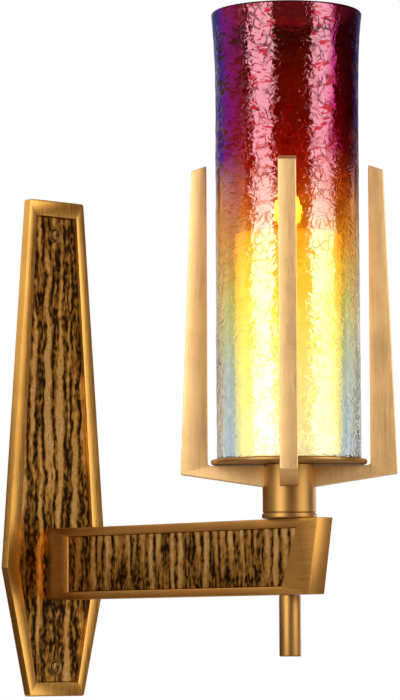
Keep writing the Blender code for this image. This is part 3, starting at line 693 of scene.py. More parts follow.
def cotton_wick():
    """Braided cotton, waxed pale below and charred black where it burns."""
    material, tree, place = new_material("cotton_wick")
    height = height_of(tree, place)
    charred = scaled(tree, height, (CANDLE_HIGH.z - 0.001, WICK_HIGH.z))
    strands = {"Vector": place, "Scale": 900.0, "Distortion": 3.0}
    braid = add(tree, "ShaderNodeTexWave", strands, out="Fac", bands_direction="DIAGONAL")
    colour = ramp(tree, charred, [(0.0, "#D8C49A"), (0.25, "#4A3524"), (0.7, "#17110D")])
    bump = bumped(tree, braid, 0.6, 0.0003)
    shader = add(tree, "ShaderNodeBsdfPrincipled", {"Base Color": colour, "Roughness": 0.9, "Normal": bump})
    return surfaced(material, shader)


def burning_flame(look, low, high):
    """A candle flame: clear and dull at its foot, brightest above its middle, amber at its tip."""
    material, tree, place = new_material("burning_flame")
    height = height_of(tree, place)
    up = scaled(tree, height, (low, high))
    colour = ramp(
        tree, up,
        [(0.0, "#F08A28"), (0.25, "#FFD060"), (0.55, "#FFF3B0"), (0.85, "#FFD458"), (1.0, "#F79A30")],
    )
    light = add(tree, "ShaderNodeEmission", {"Color": colour, "Strength": look.flame})
    return surfaced(material, light)


# ---------------------------------------------------------------- sizes and colours to set


def length(name, description, millimetres):
    return FloatProperty(name=name, description=description, default=millimetres * MM, unit="LENGTH")


def number(name, description, value):
    return FloatProperty(name=name, description=description, default=value)


def whole(name, description, value):
    return IntProperty(name=name, description=description, default=value)


class LampBronze(bpy.types.PropertyGroup):
    edge: length("Edge", "Radius of the rounded edges of plate, arm and fins", 0.6)
    ridge_pitch: length("Ridge Pitch", "Spacing of the plate's bark ridges", 9.0)
    rib_pitch: length("Rib Pitch", "Spacing of the arm's bark ribs", 8.8)
    seed: whole("Seed", "Which bark the castings carry", 7)


class LampGlass(bpy.types.PropertyGroup):
    crackle: number("Crackle", "Depth of the crackle's fine relief in millimetres", 0.42)
    wall: length("Wall", "Thickness of the glass wall", 3.2)
    sides: whole("Sides", "Points round the glass", 224)
    rows: whole("Rows", "Rings up the outside of the glass", 290)


class LampCandle(bpy.types.PropertyGroup):
    glow: number("Glow", "Brightness of the lit wax", 0.45)
    flame: number("Flame", "Brightness of the flame", 6.0)
    flame_height: length("Flame Height", "Height of the flame", 34.0)
    flame_width: length("Flame Width", "Width of the flame", 20.0)


def shifted_hex(code, share):
    """A colour made darker or lighter."""
    return "#" + "".join(f"{min(255, round(int(code[i : i + 2], 16) * share)):02X}" for i in (1, 3, 5))


UPRIGHT = (1.0, 1.0, 0.03)
OUTWARDS = (1.0, 0.03, 1.0)
# One satin bronze in four tones: each piece's tone is painted lighter or darker for the light it catches,
# painted light on the fins and painted shade on the turned pieces, with the plate and the arm between.
FIN_PAINTED_LIGHT_TONE = "#FBD092"
TURNED_PAINTED_LIGHT_TONE = "#A67D44"
PLATE_PAINTED_LIGHT_TONE = "#D8A452"
ARM_PAINTED_LIGHT_TONE = "#CC964C"
BARK_TONES = ("#261608", "#8C6024", "#C8954A", "#F8CE86")


def bronze(name, tone, grain, rough=0.43, turned=False):
    """The satin bronze of that name, made once, in three shades of its tone; the tone is painted lighter or
    darker for the light that falls on its piece.
    """
    made = bpy.data.materials.get(name)
    shades = [shifted_hex(tone, share) for share in (0.86, 1.0, 1.08)]
    return made or satin_bronze(name, grain, shades, rough - 0.06, rough + 0.06, turned)


def turned_bronze():
    return bronze("turned_bronze", TURNED_PAINTED_LIGHT_TONE, UPRIGHT, 0.42, turned=True)


def finish_turned(piece, body, node):
    """Finishes a bronze piece that came off the lathe."""
    shade(piece)
    finish(piece, turned_bronze(), "satin_bronze", body, node)


# ---------------------------------------------------------------- bracket

PLATE_WIDE_Z = -3.0 * MM
PLATE_TOP_HALF = 27.0 * MM
PLATE_BOTTOM_HALF = 26.8 * MM
PLATE_RECESS = 4.2 * MM
SIDE_BORDER_ENDS = 8.0 * MM
GAP = 0.3 * MM
ARM_REACH = -ARM_LOW.y
BARK_STEP = 0.62 * MM
RIB_STEP = 0.55 * MM
PLATE_COLUMNS = 116
ARM_COLUMNS = 440
PLATE_CORNER = 2.2 * MM
RECESS_CORNER = 1.2 * MM
ARM_RECESS_CORNER = 0.8 * MM
PLATE_BARK_DEPTH = 0.9 * MM
ARM_BARK_DEPTH = 0.35 * MM
ARM_SCREW_SEAT = [(0.0, 2.0), (4.9, 2.0), (4.9, -0.3), (2.8, -2.3), (2.8, -9.0), (0.0, -9.0)]  # mm
ARM_SLANT = 9.0 * MM
ARM_RECESS_SLANT = 15.0 * MM
ARM_RECESS = 2.4 * MM
LEVELS = ("upper", "lower")
WALL_SCREW_LEVELS = [sum(corner.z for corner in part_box(f"wall_screw_{level}")) / 2 for level in LEVELS]
ARM_SCREW_LEVELS = [sum(corner.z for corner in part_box(f"arm_screw_{level}")) / 2 for level in LEVELS]
WASHER_RADIUS = radius_of(*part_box("cup_washer_upper"))


def plate_half(z):
    """Half of the plate's width at a height."""
    above = z > PLATE_WIDE_Z
    end_z, end_half = (PLATE_HIGH.z, PLATE_TOP_HALF) if above else (PLATE_LOW.z, PLATE_BOTTOM_HALF)
    share = (z - PLATE_WIDE_Z) / (end_z - PLATE_WIDE_Z)
    return PLATE_HIGH.x + (end_half - PLATE_HIGH.x) * share


def panel_half(z, room=0.0):
    """Half of the bark panel's width at a height, less some room at each side."""
    end = PANEL_HIGH.z if z > PLATE_WIDE_Z else PANEL_LOW.z
    end_half = plate_half(end) - SIDE_BORDER_ENDS
    share = (z - PLATE_WIDE_Z) / (end - PLATE_WIDE_Z)
    return PANEL_HIGH.x + GAP + (end_half - PANEL_HIGH.x - GAP) * share - room


def six_sided(levels):
    return [(half, z) for half, z in levels] + [(-half, z) for half, z in reversed(levels)]


def along_y(piece, z):
    """Lays an upright cutter along Y, at a height."""
    return moved(piece, Matrix.Translation((0, 0, z)) @ Matrix.Rotation(-QUARTER, 4, "X"))


class LAMP_OT_wall_plate(bpy.types.Operator):
    """Builds the six-sided wall plate with its raised border"""

    bl_idname = "lamp.wall_plate"
    bl_label = "Wall Plate"

    def execute(self, context):
        look = context.scene.lamp_bronze
        thick = PLATE_HIGH.y - PLATE_LOW.y
        outline = six_sided(
            ((PLATE_BOTTOM_HALF, PLATE_LOW.z), (PLATE_HIGH.x, PLATE_WIDE_Z), (PLATE_TOP_HALF, PLATE_HIGH.z))
        )
        plate = prism("wall_plate_bronze", rounded(outline, PLATE_CORNER), 0.0, thick, facing_room)
        levels = (PANEL_LOW.z - GAP, PLATE_WIDE_Z, PANEL_HIGH.z + GAP)
        inner = six_sided([(panel_half(z), z) for z in levels])
        recess = prism("recess", rounded(inner, RECESS_CORNER), thick - PLATE_RECESS, thick * 2, facing_room)
        drills = [along_y(rod("drill", 2.5 * MM, -0.02, 0.02), z) for z in WALL_SCREW_LEVELS]
        seat = [(radius * MM, depth * MM) for radius, depth in ARM_SCREW_SEAT]
        sinks = [along_y(spun("sink", seat), z) for z in ARM_SCREW_LEVELS]
        carve(plate, recess, *drills, *sinks)
        soften(plate, look.edge)
        satin = bronze("plate_bronze", PLATE_PAINTED_LIGHT_TONE, UPRIGHT, 0.31)
        finish(plate, satin, "satin_bronze", "bracket", "wall_plate")
        return {"FINISHED"}


def panel(name, rows, columns, ends, back, front, place, holes=lambda a, b: False):
    """A closed panel with a fine grid on its front, whose ends at each level come from a function.

    place(a, b, depth) puts a grid point; holes(a, b) says where the panel is open. The grid's points
    keep their place on the panel as attributes, for the bark to read.
    """
    shape = bmesh.new()
    grid = []
    for level in rows:
        start, end = ends(level)
        spots = [start + (end - start) * i / columns for i in range(columns + 1)]
        grid.append([(spot, level, shape.verts.new(place(spot, level, front))) for spot in spots])
    for lower, upper in zip(grid, grid[1:]):
        for i in range(columns):
            corners = (lower[i], lower[i + 1], upper[i + 1], upper[i])
            if not holes(sum(c[0] for c in corners) / 4, sum(c[1] for c in corners) / 4):
                shape.faces.new([c[2] for c in corners])
    loose = [v for v in shape.verts if not v.link_faces]
    bmesh.ops.delete(shape, geom=loose, context="VERTS")
    fine = set(shape.verts)
    border = [e for e in shape.edges if e.is_boundary]
    walls = bmesh.ops.extrude_edge_only(shape, edges=border)["geom"]
    deep = [g for g in walls if isinstance(g, bmesh.types.BMVert)]
    toward = Vector(place(0, 0, back)) - Vector(place(0, 0, front))
    for vert in deep:
        vert.co += toward
    back_edges = [g for g in walls if isinstance(g, bmesh.types.BMEdge) and g.is_boundary]
    bmesh.ops.triangle_fill(shape, use_beauty=False, use_dissolve=False, edges=back_edges)
    layers = {key: shape.verts.layers.float.new(key) for key in ("across", "along", "front")}
    origin = Vector(place(0, 0, 0))
    sideways, upwards = Vector(place(1, 0, 0)) - origin, Vector(place(0, 1, 0)) - origin
    for vert in shape.verts:
        vert[layers["across"]] = vert.co.dot(sideways)
        vert[layers["along"]] = vert.co.dot(upwards)
        vert[layers["front"]] = 1.0 if vert in fine else 0.0
    bmesh.ops.recalc_face_normals(shape, faces=shape.faces)
    mesh = bpy.data.meshes.new(name)
    shape.to_mesh(mesh)
    shape.free()
    return new_piece(name, mesh)


def spaced(low, high, step):
    count = max(1, round((high - low) / step))
    return [low + (high - low) * i / count for i in range(count + 1)]


class LAMP_OT_bark_panels(bpy.types.Operator):
    """Builds the cast bark panels of the plate and of both sides of the arm"""

    bl_idname = "lamp.bark_panels"
    bl_label = "Bark Panels"

    def execute(self, context):
        look = context.scene.lamp_bronze
        tree = bark_tree()
        arm_half, arm_top = ARM_HIGH.x - 1.0 * MM, ARM_HIGH.z - 1.0 * MM
        hole = WASHER_RADIUS - 1.0 * MM

        def opened(x, z):
            under_arm = abs(x) < arm_half and abs(z) < arm_top
            return under_arm or any(math.hypot(x, z - level) < hole for level in WALL_SCREW_LEVELS)

        def plate_ends(z):
            half = panel_half(z, GAP)
            return (-half, half)

        low, high = SIDE_PANEL_LOW, SIDE_PANEL_HIGH

        def arm_ends(z):
            return (-high.y, -low.y - ARM_RECESS_SLANT * (high.z - z) / (high.z - low.z))

        below = spaced(PANEL_LOW.z, PLATE_WIDE_Z, BARK_STEP)[:-1]
        rows = below + spaced(PLATE_WIDE_Z, PANEL_HIGH.z, BARK_STEP)
        front = -PANEL_HIGH.y + PLATE_BARK_DEPTH
        made = panel("plate_bark", rows, PLATE_COLUMNS, plate_ends, -PANEL_HIGH.y, front, facing_room, opened)
        bark = {
            "Outwards": Vector((0, -1, 0)), "Ridge Pitch": look.ridge_pitch, "Ridge Length": 300 * MM,
            "Ridge Height": 1.9 * MM, "Ridge Low": 0.06, "Ridge High": 0.47, "Wander": 9 * MM,
            "Randomness": 0.75, "Pit Size": 2.2 * MM, "Seed": float(look.seed),
            "Material": bark_bronze("plate_bark_bronze", (0.04, 0.25, 0.53, 0.98)),
        }
        run_tree(made, tree, bark)
        shade(made, 180)
        finish(made, None, "oxidised_bronze", "bracket", "plate_bark_inlay")

        bark.update(
            {
                "Ridge Pitch": look.rib_pitch, "Ridge Length": 150 * MM, "Ridge Height": 1.35 * MM,
                "Ridge Low": 0.05, "Ridge High": 0.45, "Wander": 5 * MM,
                "Randomness": 0.6, "Pit Size": 2.0 * MM,
                # The arm's bark takes lower levels than the plate's, so the same rubbed bronze is painted
                # lighter on the arm: painted light.
                "Material": bark_bronze("arm_bark_bronze", (0.02, 0.2, 0.47, 0.92)),
            }
        )
        rows = spaced(low.z, high.z, RIB_STEP)
        for side, sign in (("left", -1), ("right", 1)):
            back, front = sign * low.x, sign * (low.x + ARM_BARK_DEPTH)
            made = panel(f"arm_bark_{side}", rows, ARM_COLUMNS, arm_ends, back, front, seen_from_side)
            bark.update({"Outwards": Vector((sign, 0, 0)), "Seed": float(look.seed + 5 + sign)})
            run_tree(made, tree, bark)
            shade(made, 180)
            finish(made, None, "oxidised_bronze", "bracket", f"arm_bark_inlay_{side}")
        return {"FINISHED"}


class LAMP_OT_arm(bpy.types.Operator):
    """Builds the flat arm with its slanted end and sunk side panels"""

    bl_idname = "lamp.arm"
    bl_label = "Arm"

    def execute(self, context):
        look = context.scene.lamp_bronze
        start = -ARM_HIGH.y
        foot = (ARM_REACH - ARM_SLANT, ARM_LOW.z)
        outline = [(start, ARM_LOW.z), foot, (ARM_REACH, ARM_HIGH.z), (start, ARM_HIGH.z)]
        arm = prism("arm_bronze", outline, ARM_LOW.x, ARM_HIGH.x, seen_from_side)
        low, high = SIDE_PANEL_LOW, SIDE_PANEL_HIGH
        start, foot, tip = -high.y - GAP, -low.y - ARM_RECESS_SLANT + GAP, -low.y + GAP
        inner = [(start, low.z - GAP), (foot, low.z - GAP), (tip, high.z + GAP), (start, high.z + GAP)]
        recesses = []
        for sign in (-1, 1):
            depths = sorted((sign * (ARM_HIGH.x - ARM_RECESS), sign * ARM_HIGH.x * 2))
            recesses.append(prism("recess", rounded(inner, ARM_RECESS_CORNER), *depths, seen_from_side))
        bore = rod("bore", 3.3 * MM, -0.1, 0.1, centre=AXIS)
        drills = [along_y(rod("drill", 2.8 * MM, -0.02, 0.0), z) for z in ARM_SCREW_LEVELS]
        carve(arm, *recesses, bore, *drills)
        soften(arm, look.edge)
        finish(arm, bronze("arm_bronze", ARM_PAINTED_LIGHT_TONE, OUTWARDS, 0.37), "satin_bronze", "bracket", "arm")
        return {"FINISHED"}


def threaded(name, profile, thread, pitch, low, high, sides=32):
    """A turned shank whose stretch between two heights carries a thread of that depth and pitch."""
    steps = max(1, round((high - low) / (pitch / 8)))
    points = []
    heights = [height for _, height in profile]
    for (radius, top), foot in zip(profile, heights[1:] + heights[-1:]):
        points.append((radius, top))
        if top >= high and foot <= low:
            points += [(radius, high - (high - low) * i / steps) for i in range(steps + 1)]
    made = spun(name, points, sides)
    for vert in made.data.vertices:
        x, y, z = vert.co
        radius = math.hypot(x, y)
        if low <= z <= high and radius > 1e-5:
            phase = (z / pitch - math.atan2(y, x) / (2 * math.pi)) % 1.0
            fade = min(1.0, (high - z) / pitch, (z - low) / pitch)
            grown = 1 + (max(0.0, 1 - abs(phase - 0.5) * 3.2) * fade - 0.4 * fade) * thread / radius
            vert.co = (x * grown, y * grown, z)
    return made


def hex_socket(screw, top):
    """Sinks a screw's hexagon socket."""
    carve(screw, rod("key", 1.6 * MM, top - 2.0 * MM, top + 1 * MM, 6))


def finish_pair(name, master, turn, material, slot, levels):
    """Turns a master to lie along Y, and sets a copy of it at each of two levels."""
    shade(master)
    upper, lower = levels
    moved(master, Matrix.Rotation(turn, 4, "X"))
    made = copies(f"{name}s", master, material, 2, (0, 0, upper - lower), (0, 0, lower))
    finish(made, None, slot, "bracket", f"{name}_upper", f"{name}_lower")


class LAMP_OT_fasteners(bpy.types.Operator):
    """Builds the wall screws, their cup washers and the arm's countersunk screws"""

    bl_idname = "lamp.fasteners"
    bl_label = "Fasteners"

    def execute(self, context):
        dark = bronze("screw_bronze", "#8F6A38", UPRIGHT)
        zinc = zinc_steel()
        outer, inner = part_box("wall_screw_upper")
        tip, head = -inner.y, -outer.y
        crown, shank = 1.1 * MM, 2.0 * MM
        rim = head - crown
        neck, thread_end = rim - 1.9 * MM, tip + 7 * MM
        turns = [QUARTER * i / 5 for i in range(6)]
        dome = [(4.3 * MM * math.sin(turn), rim + crown * math.cos(turn)) for turn in turns]
        profile = [*dome, (shank, neck), (shank, thread_end), (0.0, tip)]
        screw = threaded("wall_screw", profile, 0.45 * MM, 2.1 * MM, thread_end, neck - 8 * MM)
        blades = []
        for turn in (0.3, 0.3 + QUARTER):
            blade = block("blade", -2.3 * MM, 2.3 * MM, 0.5 * MM, rim - 1.0 * MM, rim + 3 * MM)
            blades.append(moved(blade, Matrix.Rotation(turn, 4, "Z")))
        carve(screw, *blades)
        finish_pair("wall_screw", screw, QUARTER, dark, "oxidised_bronze", WALL_SCREW_LEVELS)

        outer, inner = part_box("cup_washer_upper")
        seat, lip = -inner.y, -outer.y
        bead = 0.75 * MM
        turns = (0, 0.4, 0.8, 1.2, 1.57)
        rolled = [(5.35 * MM + bead * math.cos(turn), lip - bead + bead * math.sin(turn)) for turn in turns]
        hollow = [(4.75 * MM, lip - 0.25 * MM), (2.5 * MM, seat + 0.4 * MM), (2.5 * MM, seat)]
        washer = lathe("washer", [*rolled, *hollow, (WASHER_RADIUS, seat)], 64, centre=Vector())
        finish_pair("cup_washer", washer, QUARTER, dark, "oxidised_bronze", WALL_SCREW_LEVELS)

        outer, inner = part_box("arm_screw_upper")
        end, top = outer.y, inner.y
        shank = 2.4 * MM
        profile = [
            (0.0, top), (4.4 * MM, top), (4.6 * MM, top - 0.2 * MM), (shank, top - 2.0 * MM),
            (shank, end), (0.0, end),
        ]
        sunk = threaded("arm_screw", profile, 0.25 * MM, 0.8 * MM, end, top - 3 * MM)
        hex_socket(sunk, top)
        finish_pair("arm_screw", sunk, -QUARTER, zinc, "steel", ARM_SCREW_LEVELS)
        return {"FINISHED"}


# ---------------------------------------------------------------- lamp head

FIN_THICK = 12.7 * MM
HUB_BORE = 11.55 * MM
STUD_HOLE = 3.3 * MM
FIN_FOOT_RADIUS = 15.85 * MM
SLOT_DEPTH = 15.7 * MM


class LAMP_OT_hub(bpy.types.Operator):
    """Builds the hub, its base ring and the tail rod"""

    bl_idname = "lamp.hub"
    bl_label = "Hub and Tail Rod"

    def execute(self, context):
        radius = radius_of(HUB_LOW, HUB_HIGH)
        low, high = HUB_LOW.z, HUB_HIGH.z
        edge, step = 0.35 * MM, 0.45 * MM
        profile = [
            (HUB_BORE, high), (radius - edge, high), (radius, high - edge), (radius, low + 2 * step),
            (radius - step, low + step), (radius - step, low),
            (STUD_HOLE, low), (STUD_HOLE, low + 6 * MM), (HUB_BORE, low + 6 * MM),
        ]
        hub = lathe("hub_bronze", profile, 128)
        half, foot = FIN_THICK / 2 + GAP, high - SLOT_DEPTH - GAP
        slots = []
        for i in range(len(FIN_PLACES)):
            slot = block("slot", FIN_FOOT_RADIUS - GAP, 25 * MM, half, foot, high + 5 * MM)
            turn = Matrix.Rotation(QUARTER * (i + 0.5), 4, "Z")
            slots.append(moved(slot, Matrix.Translation(AXIS) @ turn))
        carve(hub, *slots)
        finish_turned(hub, "head", "hub")

        radius, bend = radius_of(RING_LOW, RING_HIGH), 0.5 * MM
        low, high = RING_LOW.z, RING_HIGH.z
        profile = [(STUD_HOLE, high), *rim_arcs(radius, low, high, bend, 4), (STUD_HOLE, low)]
        finish_turned(lathe("hub_base_ring_bronze", profile, 128), "head", "hub_base_ring")

        radius = radius_of(TAIL_LOW, TAIL_HIGH)
        low, high = TAIL_LOW.z, TAIL_HIGH.z
        profile = [
            (0.0, high - 16 * MM), (STUD_HOLE, high - 16 * MM), (STUD_HOLE, high),
            *arc(radius - 0.5 * MM, high - 0.5 * MM, 0.5 * MM, 90, 0, 3),
            *arc(radius - 1.0 * MM, low + 1.0 * MM, 1.0 * MM, 0, -90, 5), (0.0, low),
        ]
        finish_turned(spun("tail_rod_bronze", profile, 96, AXIS), "tail", "tail_rod")
        return {"FINISHED"}


class LAMP_OT_fins(bpy.types.Operator):
    """Builds the four upright fins and the cap screws that hold them"""

    bl_idname = "lamp.fins"
    bl_label = "Fins"

    def execute(self, context):
        look = context.scene.lamp_bronze
        low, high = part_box("fin_front_right")
        inner = radius_of(DISC_LOW, DISC_HIGH) + 2.4 * MM
        foot_top = HUB_HIGH.z - 0.7 * MM
        bend = 2.5 * MM
        outline = [
            (FIN_FOOT_RADIUS, low.z), (radius_of(HUB_LOW, HUB_HIGH), low.z),
            (inner + 19 * MM, foot_top - 6 * MM),
            (inner + 10.5 * MM, high.z - 3.5 * MM), (inner, high.z),
            *arc(inner - bend, foot_top + bend, bend, 0, -90, 8), (FIN_FOOT_RADIUS, foot_top),
        ]
        fin = prism("fin", outline, -FIN_THICK / 2, FIN_THICK / 2, lambda a, b, d: (a, d, b))
        soften(fin, look.edge)
        satin = bronze("fin_bronze", FIN_PAINTED_LIGHT_TONE, UPRIGHT, 0.52)
        fins = copies("fins_bronze", fin, satin, 4, centre=AXIS, first_turn=QUARTER / 2, turn=QUARTER)
        finish(fins, None, "satin_bronze", "head", *[f"fin_{place}" for place in FIN_PLACES])
        return {"FINISHED"}


class LAMP_OT_gallery(bpy.types.Operator):
    """Builds the gallery disc and the screw at its middle"""

    bl_idname = "lamp.gallery"
    bl_label = "Gallery Disc"

    def execute(self, context):
        radius = radius_of(DISC_LOW, DISC_HIGH)
        low, high = DISC_LOW.z, DISC_HIGH.z
        bend = (high - low) * 0.42
        profile = [
            (4.9 * MM, high), *rim_arcs(radius, low, high, bend, 6),
            (2.8 * MM, low), (2.8 * MM, high - 2.0 * MM),
        ]
        finish_turned(lathe("gallery_disc_bronze", profile, 160), "head", "gallery_disc")

        low, high = (corner.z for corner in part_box("disc_screw"))
        profile = [
            (0.0, high), (4.5 * MM, high), (4.6 * MM, high - 0.1 * MM), (2.5 * MM, high - 2 * MM),
            (2.5 * MM, low), (0.0, low),
        ]
        screw = spun("disc_screw_bronze", profile, 64)
        hex_socket(screw, high)
        finish_turned(moved(screw, Matrix.Translation(AXIS)), "head", "disc_screw")
        return {"FINISHED"}


class LAMP_OT_hidden_parts(bpy.types.Operator):
    """Gives the stud, the nut, the plug and the fins' screws their finish"""

    bl_idname = "lamp.hidden_parts"
    bl_label = "Hidden Parts"

    def execute(self, context):
        steel_nodes = ["tie_stud", "stud_nut", *[f"fin_screw_{place}" for place in FIN_PLACES]]
        worn = dict.fromkeys(steel_nodes, bpy.data.materials.get("zinc_steel") or zinc_steel())
        worn["hub_plug"] = turned_bronze()
        for name, material in worn.items():
            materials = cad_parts[name].data.materials
            materials.clear()
            materials.append(material)
        return {"FINISHED"}


# ---------------------------------------------------------------- glass and candle

GLASS_FLARE = 2.7 * MM
GLASS_FLARE_HEIGHT = 60.0 * MM
FLAME_RINGS = 24


class LAMP_OT_glass(bpy.types.Operator):
    """Blows the crackle glass cylinder"""

    bl_idname = "lamp.glass"
    bl_label = "Glass Cylinder"

    def execute(self, context):
        look = context.scene.lamp_glass
        low, high = GLASS_LOW.z, GLASS_HIGH.z
        mouth = radius_of(GLASS_LOW, GLASS_HIGH)
        half = look.wall / 2

        def radius(z):
            share = max(0.0, (z - (high - half - GLASS_FLARE_HEIGHT)) / GLASS_FLARE_HEIGHT)
            return mouth - GLASS_FLARE + GLASS_FLARE * share**2

        top, bend = high - half, 0.8 * MM
        foot = low + bend
        lip = arc(radius(top) - half, top, half, 180, 0, 8)
        outer = [(radius(z), z) for z in reversed(spaced(foot, top, (top - low) / look.rows))][1:]
        toe = arc(radius(low) - bend, foot, bend, 0, -90, 3)[1:]
        heel = arc(radius(low) - look.wall + bend, foot, bend, -90, -180, 3)
        inner = [(radius(z) - look.wall, z) for z in spaced(foot, top, 9 * MM)][1:-1]
        glass = lathe("glass_cylinder_crackle", [*lip, *outer, *toe, *heel, *inner], look.sides)
        mesh = glass.data
        outside = mesh.attributes.new("outside", "FLOAT", "POINT")
        outwards = mesh.attributes.new("outwards", "FLOAT_VECTOR", "POINT")
        for vert in mesh.vertices:
            flat = Vector((vert.co.x - AXIS.x, vert.co.y - AXIS.y, 0.0))
            depth = radius(vert.co.z) - flat.length
            outside.data[vert.index].value = 1.0 if depth < half * 0.9 else 0.0
            outwards.data[vert.index].vector = flat.normalized()
        values = {
            "Wave": 0.35 * MM, "Dome": 0.22 * MM, "Cell": 9 * MM, "Chip": 1.6 * MM, "Foot": low, "Seed": 3.0,
            "Material": crackle_glass(look),
        }
        run_tree(glass, crackle_tree(), values)
        shade(glass, 60)
        finish(glass, None, "ruby_glass", "glass", "glass_cylinder")
        return {"FINISHED"}


def twisted_wick(low, pool, top, steps=60, sides=12):
    """A braided wick that leans over above the pool."""
    shape = bmesh.new()
    rings = []
    for i in range(steps + 1):
        z = low + (top - low) * i / steps
        bend = max(0.0, (z - pool) / (top - pool))
        lean, size = 0.48 * MM * bend**2, 1.1 * MM * (1 - 0.25 * bend)
        ring = []
        for side in range(sides):
            turn = 2 * math.pi * side / sides
            reach = size * (1 + 0.06 * math.cos(side * 2 + z * 4000))
            spot = (AXIS.x + lean + reach * math.cos(turn), AXIS.y - lean + reach * math.sin(turn), z)
            ring.append(shape.verts.new(spot))
        rings.append(ring)
    for lower, upper in zip(rings, rings[1:]):
        for k in range(sides):
            shape.faces.new([lower[k], lower[(k + 1) % sides], upper[(k + 1) % sides], upper[k]])
    shape.faces.new(list(reversed(rings[0])))
    shape.faces.new(rings[-1])
    return new_piece("wick_cotton", mesh_from(shape, "wick_cotton"))


class LAMP_OT_candle(bpy.types.Operator):
    """Builds the pillar candle with its melted pool, its wick and its flame"""

    bl_idname = "lamp.candle"
    bl_label = "Candle"

    def execute(self, context):
        look = context.scene.lamp_candle
        radius = radius_of(CANDLE_LOW, CANDLE_HIGH)
        low, high = CANDLE_LOW.z, CANDLE_HIGH.z
        pool, brim, base = high - 2.0 * MM, 3.2 * MM, 2.0 * MM
        bowl = [(out * MM, pool) for out in (1.5, 6, 12, 18, 24, 28)]
        slope = [(30.5 * MM, pool + 0.25 * MM), (32.5 * MM, pool + 0.9 * MM), (34 * MM, pool + 1.6 * MM)]
        profile = [
            *bowl, *slope, *arc(radius - brim, high - brim, brim, 80, 0, 6)[:-1],
            *[(radius, z) for z in reversed(spaced(low + base, high - brim, 6 * MM))],
            *arc(radius - base, low + base, base, 0, -90, 5)[1:], (1.5 * MM, low),
        ]
        candle = lathe("candle_body", profile, 96)
        shade(candle, 50)
        finish(candle, candle_wax(look), "wax", "candle", "candle")

        wick = twisted_wick(low, pool, WICK_HIGH.z)
        shade(wick, 50)
        finish(wick, cotton_wick(), "wick", "candle", "wick")

        foot = WICK_HIGH.z - 5.0 * MM
        tip = foot + look.flame_height
        outline = [(0.0, foot)]
        for i in range(1, FLAME_RINGS):
            share = i / FLAME_RINGS
            width = 1.12 * math.sin(math.pi * share**0.75) ** 0.9 * (1 - 0.25 * share)
            outline.append((look.flame_width / 2 * width, foot + look.flame_height * share))
        outline.append((0.0, tip))
        flame = spun("candle_flame", outline[::-1], 32, AXIS)
        shade(flame, 80)
        flame.data.materials.append(burning_flame(look, foot, tip))
        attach(flame, "candle")
        return {"FINISHED"}


# ---------------------------------------------------------------- stage


class LampStage(bpy.types.PropertyGroup):
    azimuth: number("Azimuth", "Where the camera stands round the lamp, in degrees", -43.47)
    elevation: number("Elevation", "The camera's height over the lamp, in degrees", -4.96)
    roll: number("Roll", "The camera's lean, in degrees", -0.25)
    distance: number("Distance", "From the camera to the lamp, in metres", 2.60835)
    lens: number("Lens", "Focal length in millimetres on a 36 mm sensor", 182.705)


CAMERA_TARGET = Vector((0.0, -0.16615, 0.15376))
FLOOR_Z = -1.7
FLOOR_RADIUS = 4.5
SOFTBOXES = {  # angle from the camera, angle that it fills, foot, top, distance, brightness
    "softbox_left": (-41, 35, -0.28, 1.3, 1.3, 4.3),
    "softbox_right": (58, 40, 0.2, 1.3, 1.3, 4.1),
    "softbox_right_low": (60, 46, -0.4, 0.18, 1.3, 2.3),
    "card_right_behind": (138, 34, -0.4, 0.3, 1.3, 1.8),
    "card_left_side": (-92, 34, -0.12, 0.26, 1.1, 0.3),
    "card_left_behind": (-118, 92, 0.3, 1.3, 1.1, 0.95),
    "softbox_behind": (165, 60, -0.4, 1.0, 1.6, 0.35),
}


def place_camera(look):
    turn, rise = math.radians(look.azimuth), math.radians(look.elevation)
    back = Vector((math.sin(turn) * math.cos(rise), -math.cos(turn) * math.cos(rise), math.sin(rise)))
    camera_data = bpy.data.cameras.new("camera")
    camera_data.lens = look.lens
    camera_data.sensor_width = 36.0
    camera = new_piece("camera", camera_data)
    bpy.context.scene.camera = camera
    level = back.to_track_quat("Z", "Y").to_matrix().to_4x4()
    lean = Matrix.Rotation(math.radians(look.roll), 4, "Z")
    camera.matrix_world = Matrix.Translation(CAMERA_TARGET + back * look.distance) @ level @ lean


def soft_panel(name, look, from_view, spread, low, high, away, brightness):
    """A softbox that fills an angle seen from the lamp, at an angle from the camera's direction."""
    turn = math.radians(look.azimuth + from_view)
    out = Vector((math.sin(turn), -math.cos(turn), 0.0))
    data = bpy.data.lights.new(name, "AREA")
    data.shape = "RECTANGLE"
    data.size = 2 * away * math.tan(math.radians(spread / 2))
    data.size_y = high - low
    data.energy = brightness * math.pi * data.size * data.size_y
    lamp = new_piece(name, data)
    lamp.location = AXIS + out * away + Vector((0, 0, (low + high) / 2))
    lamp.rotation_euler = out.to_track_quat("Z", "Y").to_euler()
    lamp.visible_camera = False
    lamp.visible_transmission = False


def make_world():
    """White behind the lamp for the camera and through glass, a dimmer studio for metal to mirror."""
    world = bpy.data.worlds.new("studio")
    bpy.context.scene.world = world
    world.use_nodes = True
    tree = world.node_tree
    tree.nodes.clear()
    path = add(tree, "ShaderNodeLightPath").node.outputs
    seen = calc(tree, "MAXIMUM", path["Is Camera Ray"], path["Is Transmission Ray"])
    fill = mixed(tree, path["Is Diffuse Ray"], linear("#5E3E1A"), linear("#C4C2BE"))
    colour = mixed(tree, seen, fill, linear("#FFFFFF"))
    back = add(tree, "ShaderNodeBackground", {"Color": colour, "Strength": 1.0})
    add(tree, "ShaderNodeOutputWorld", {"Surface": back})


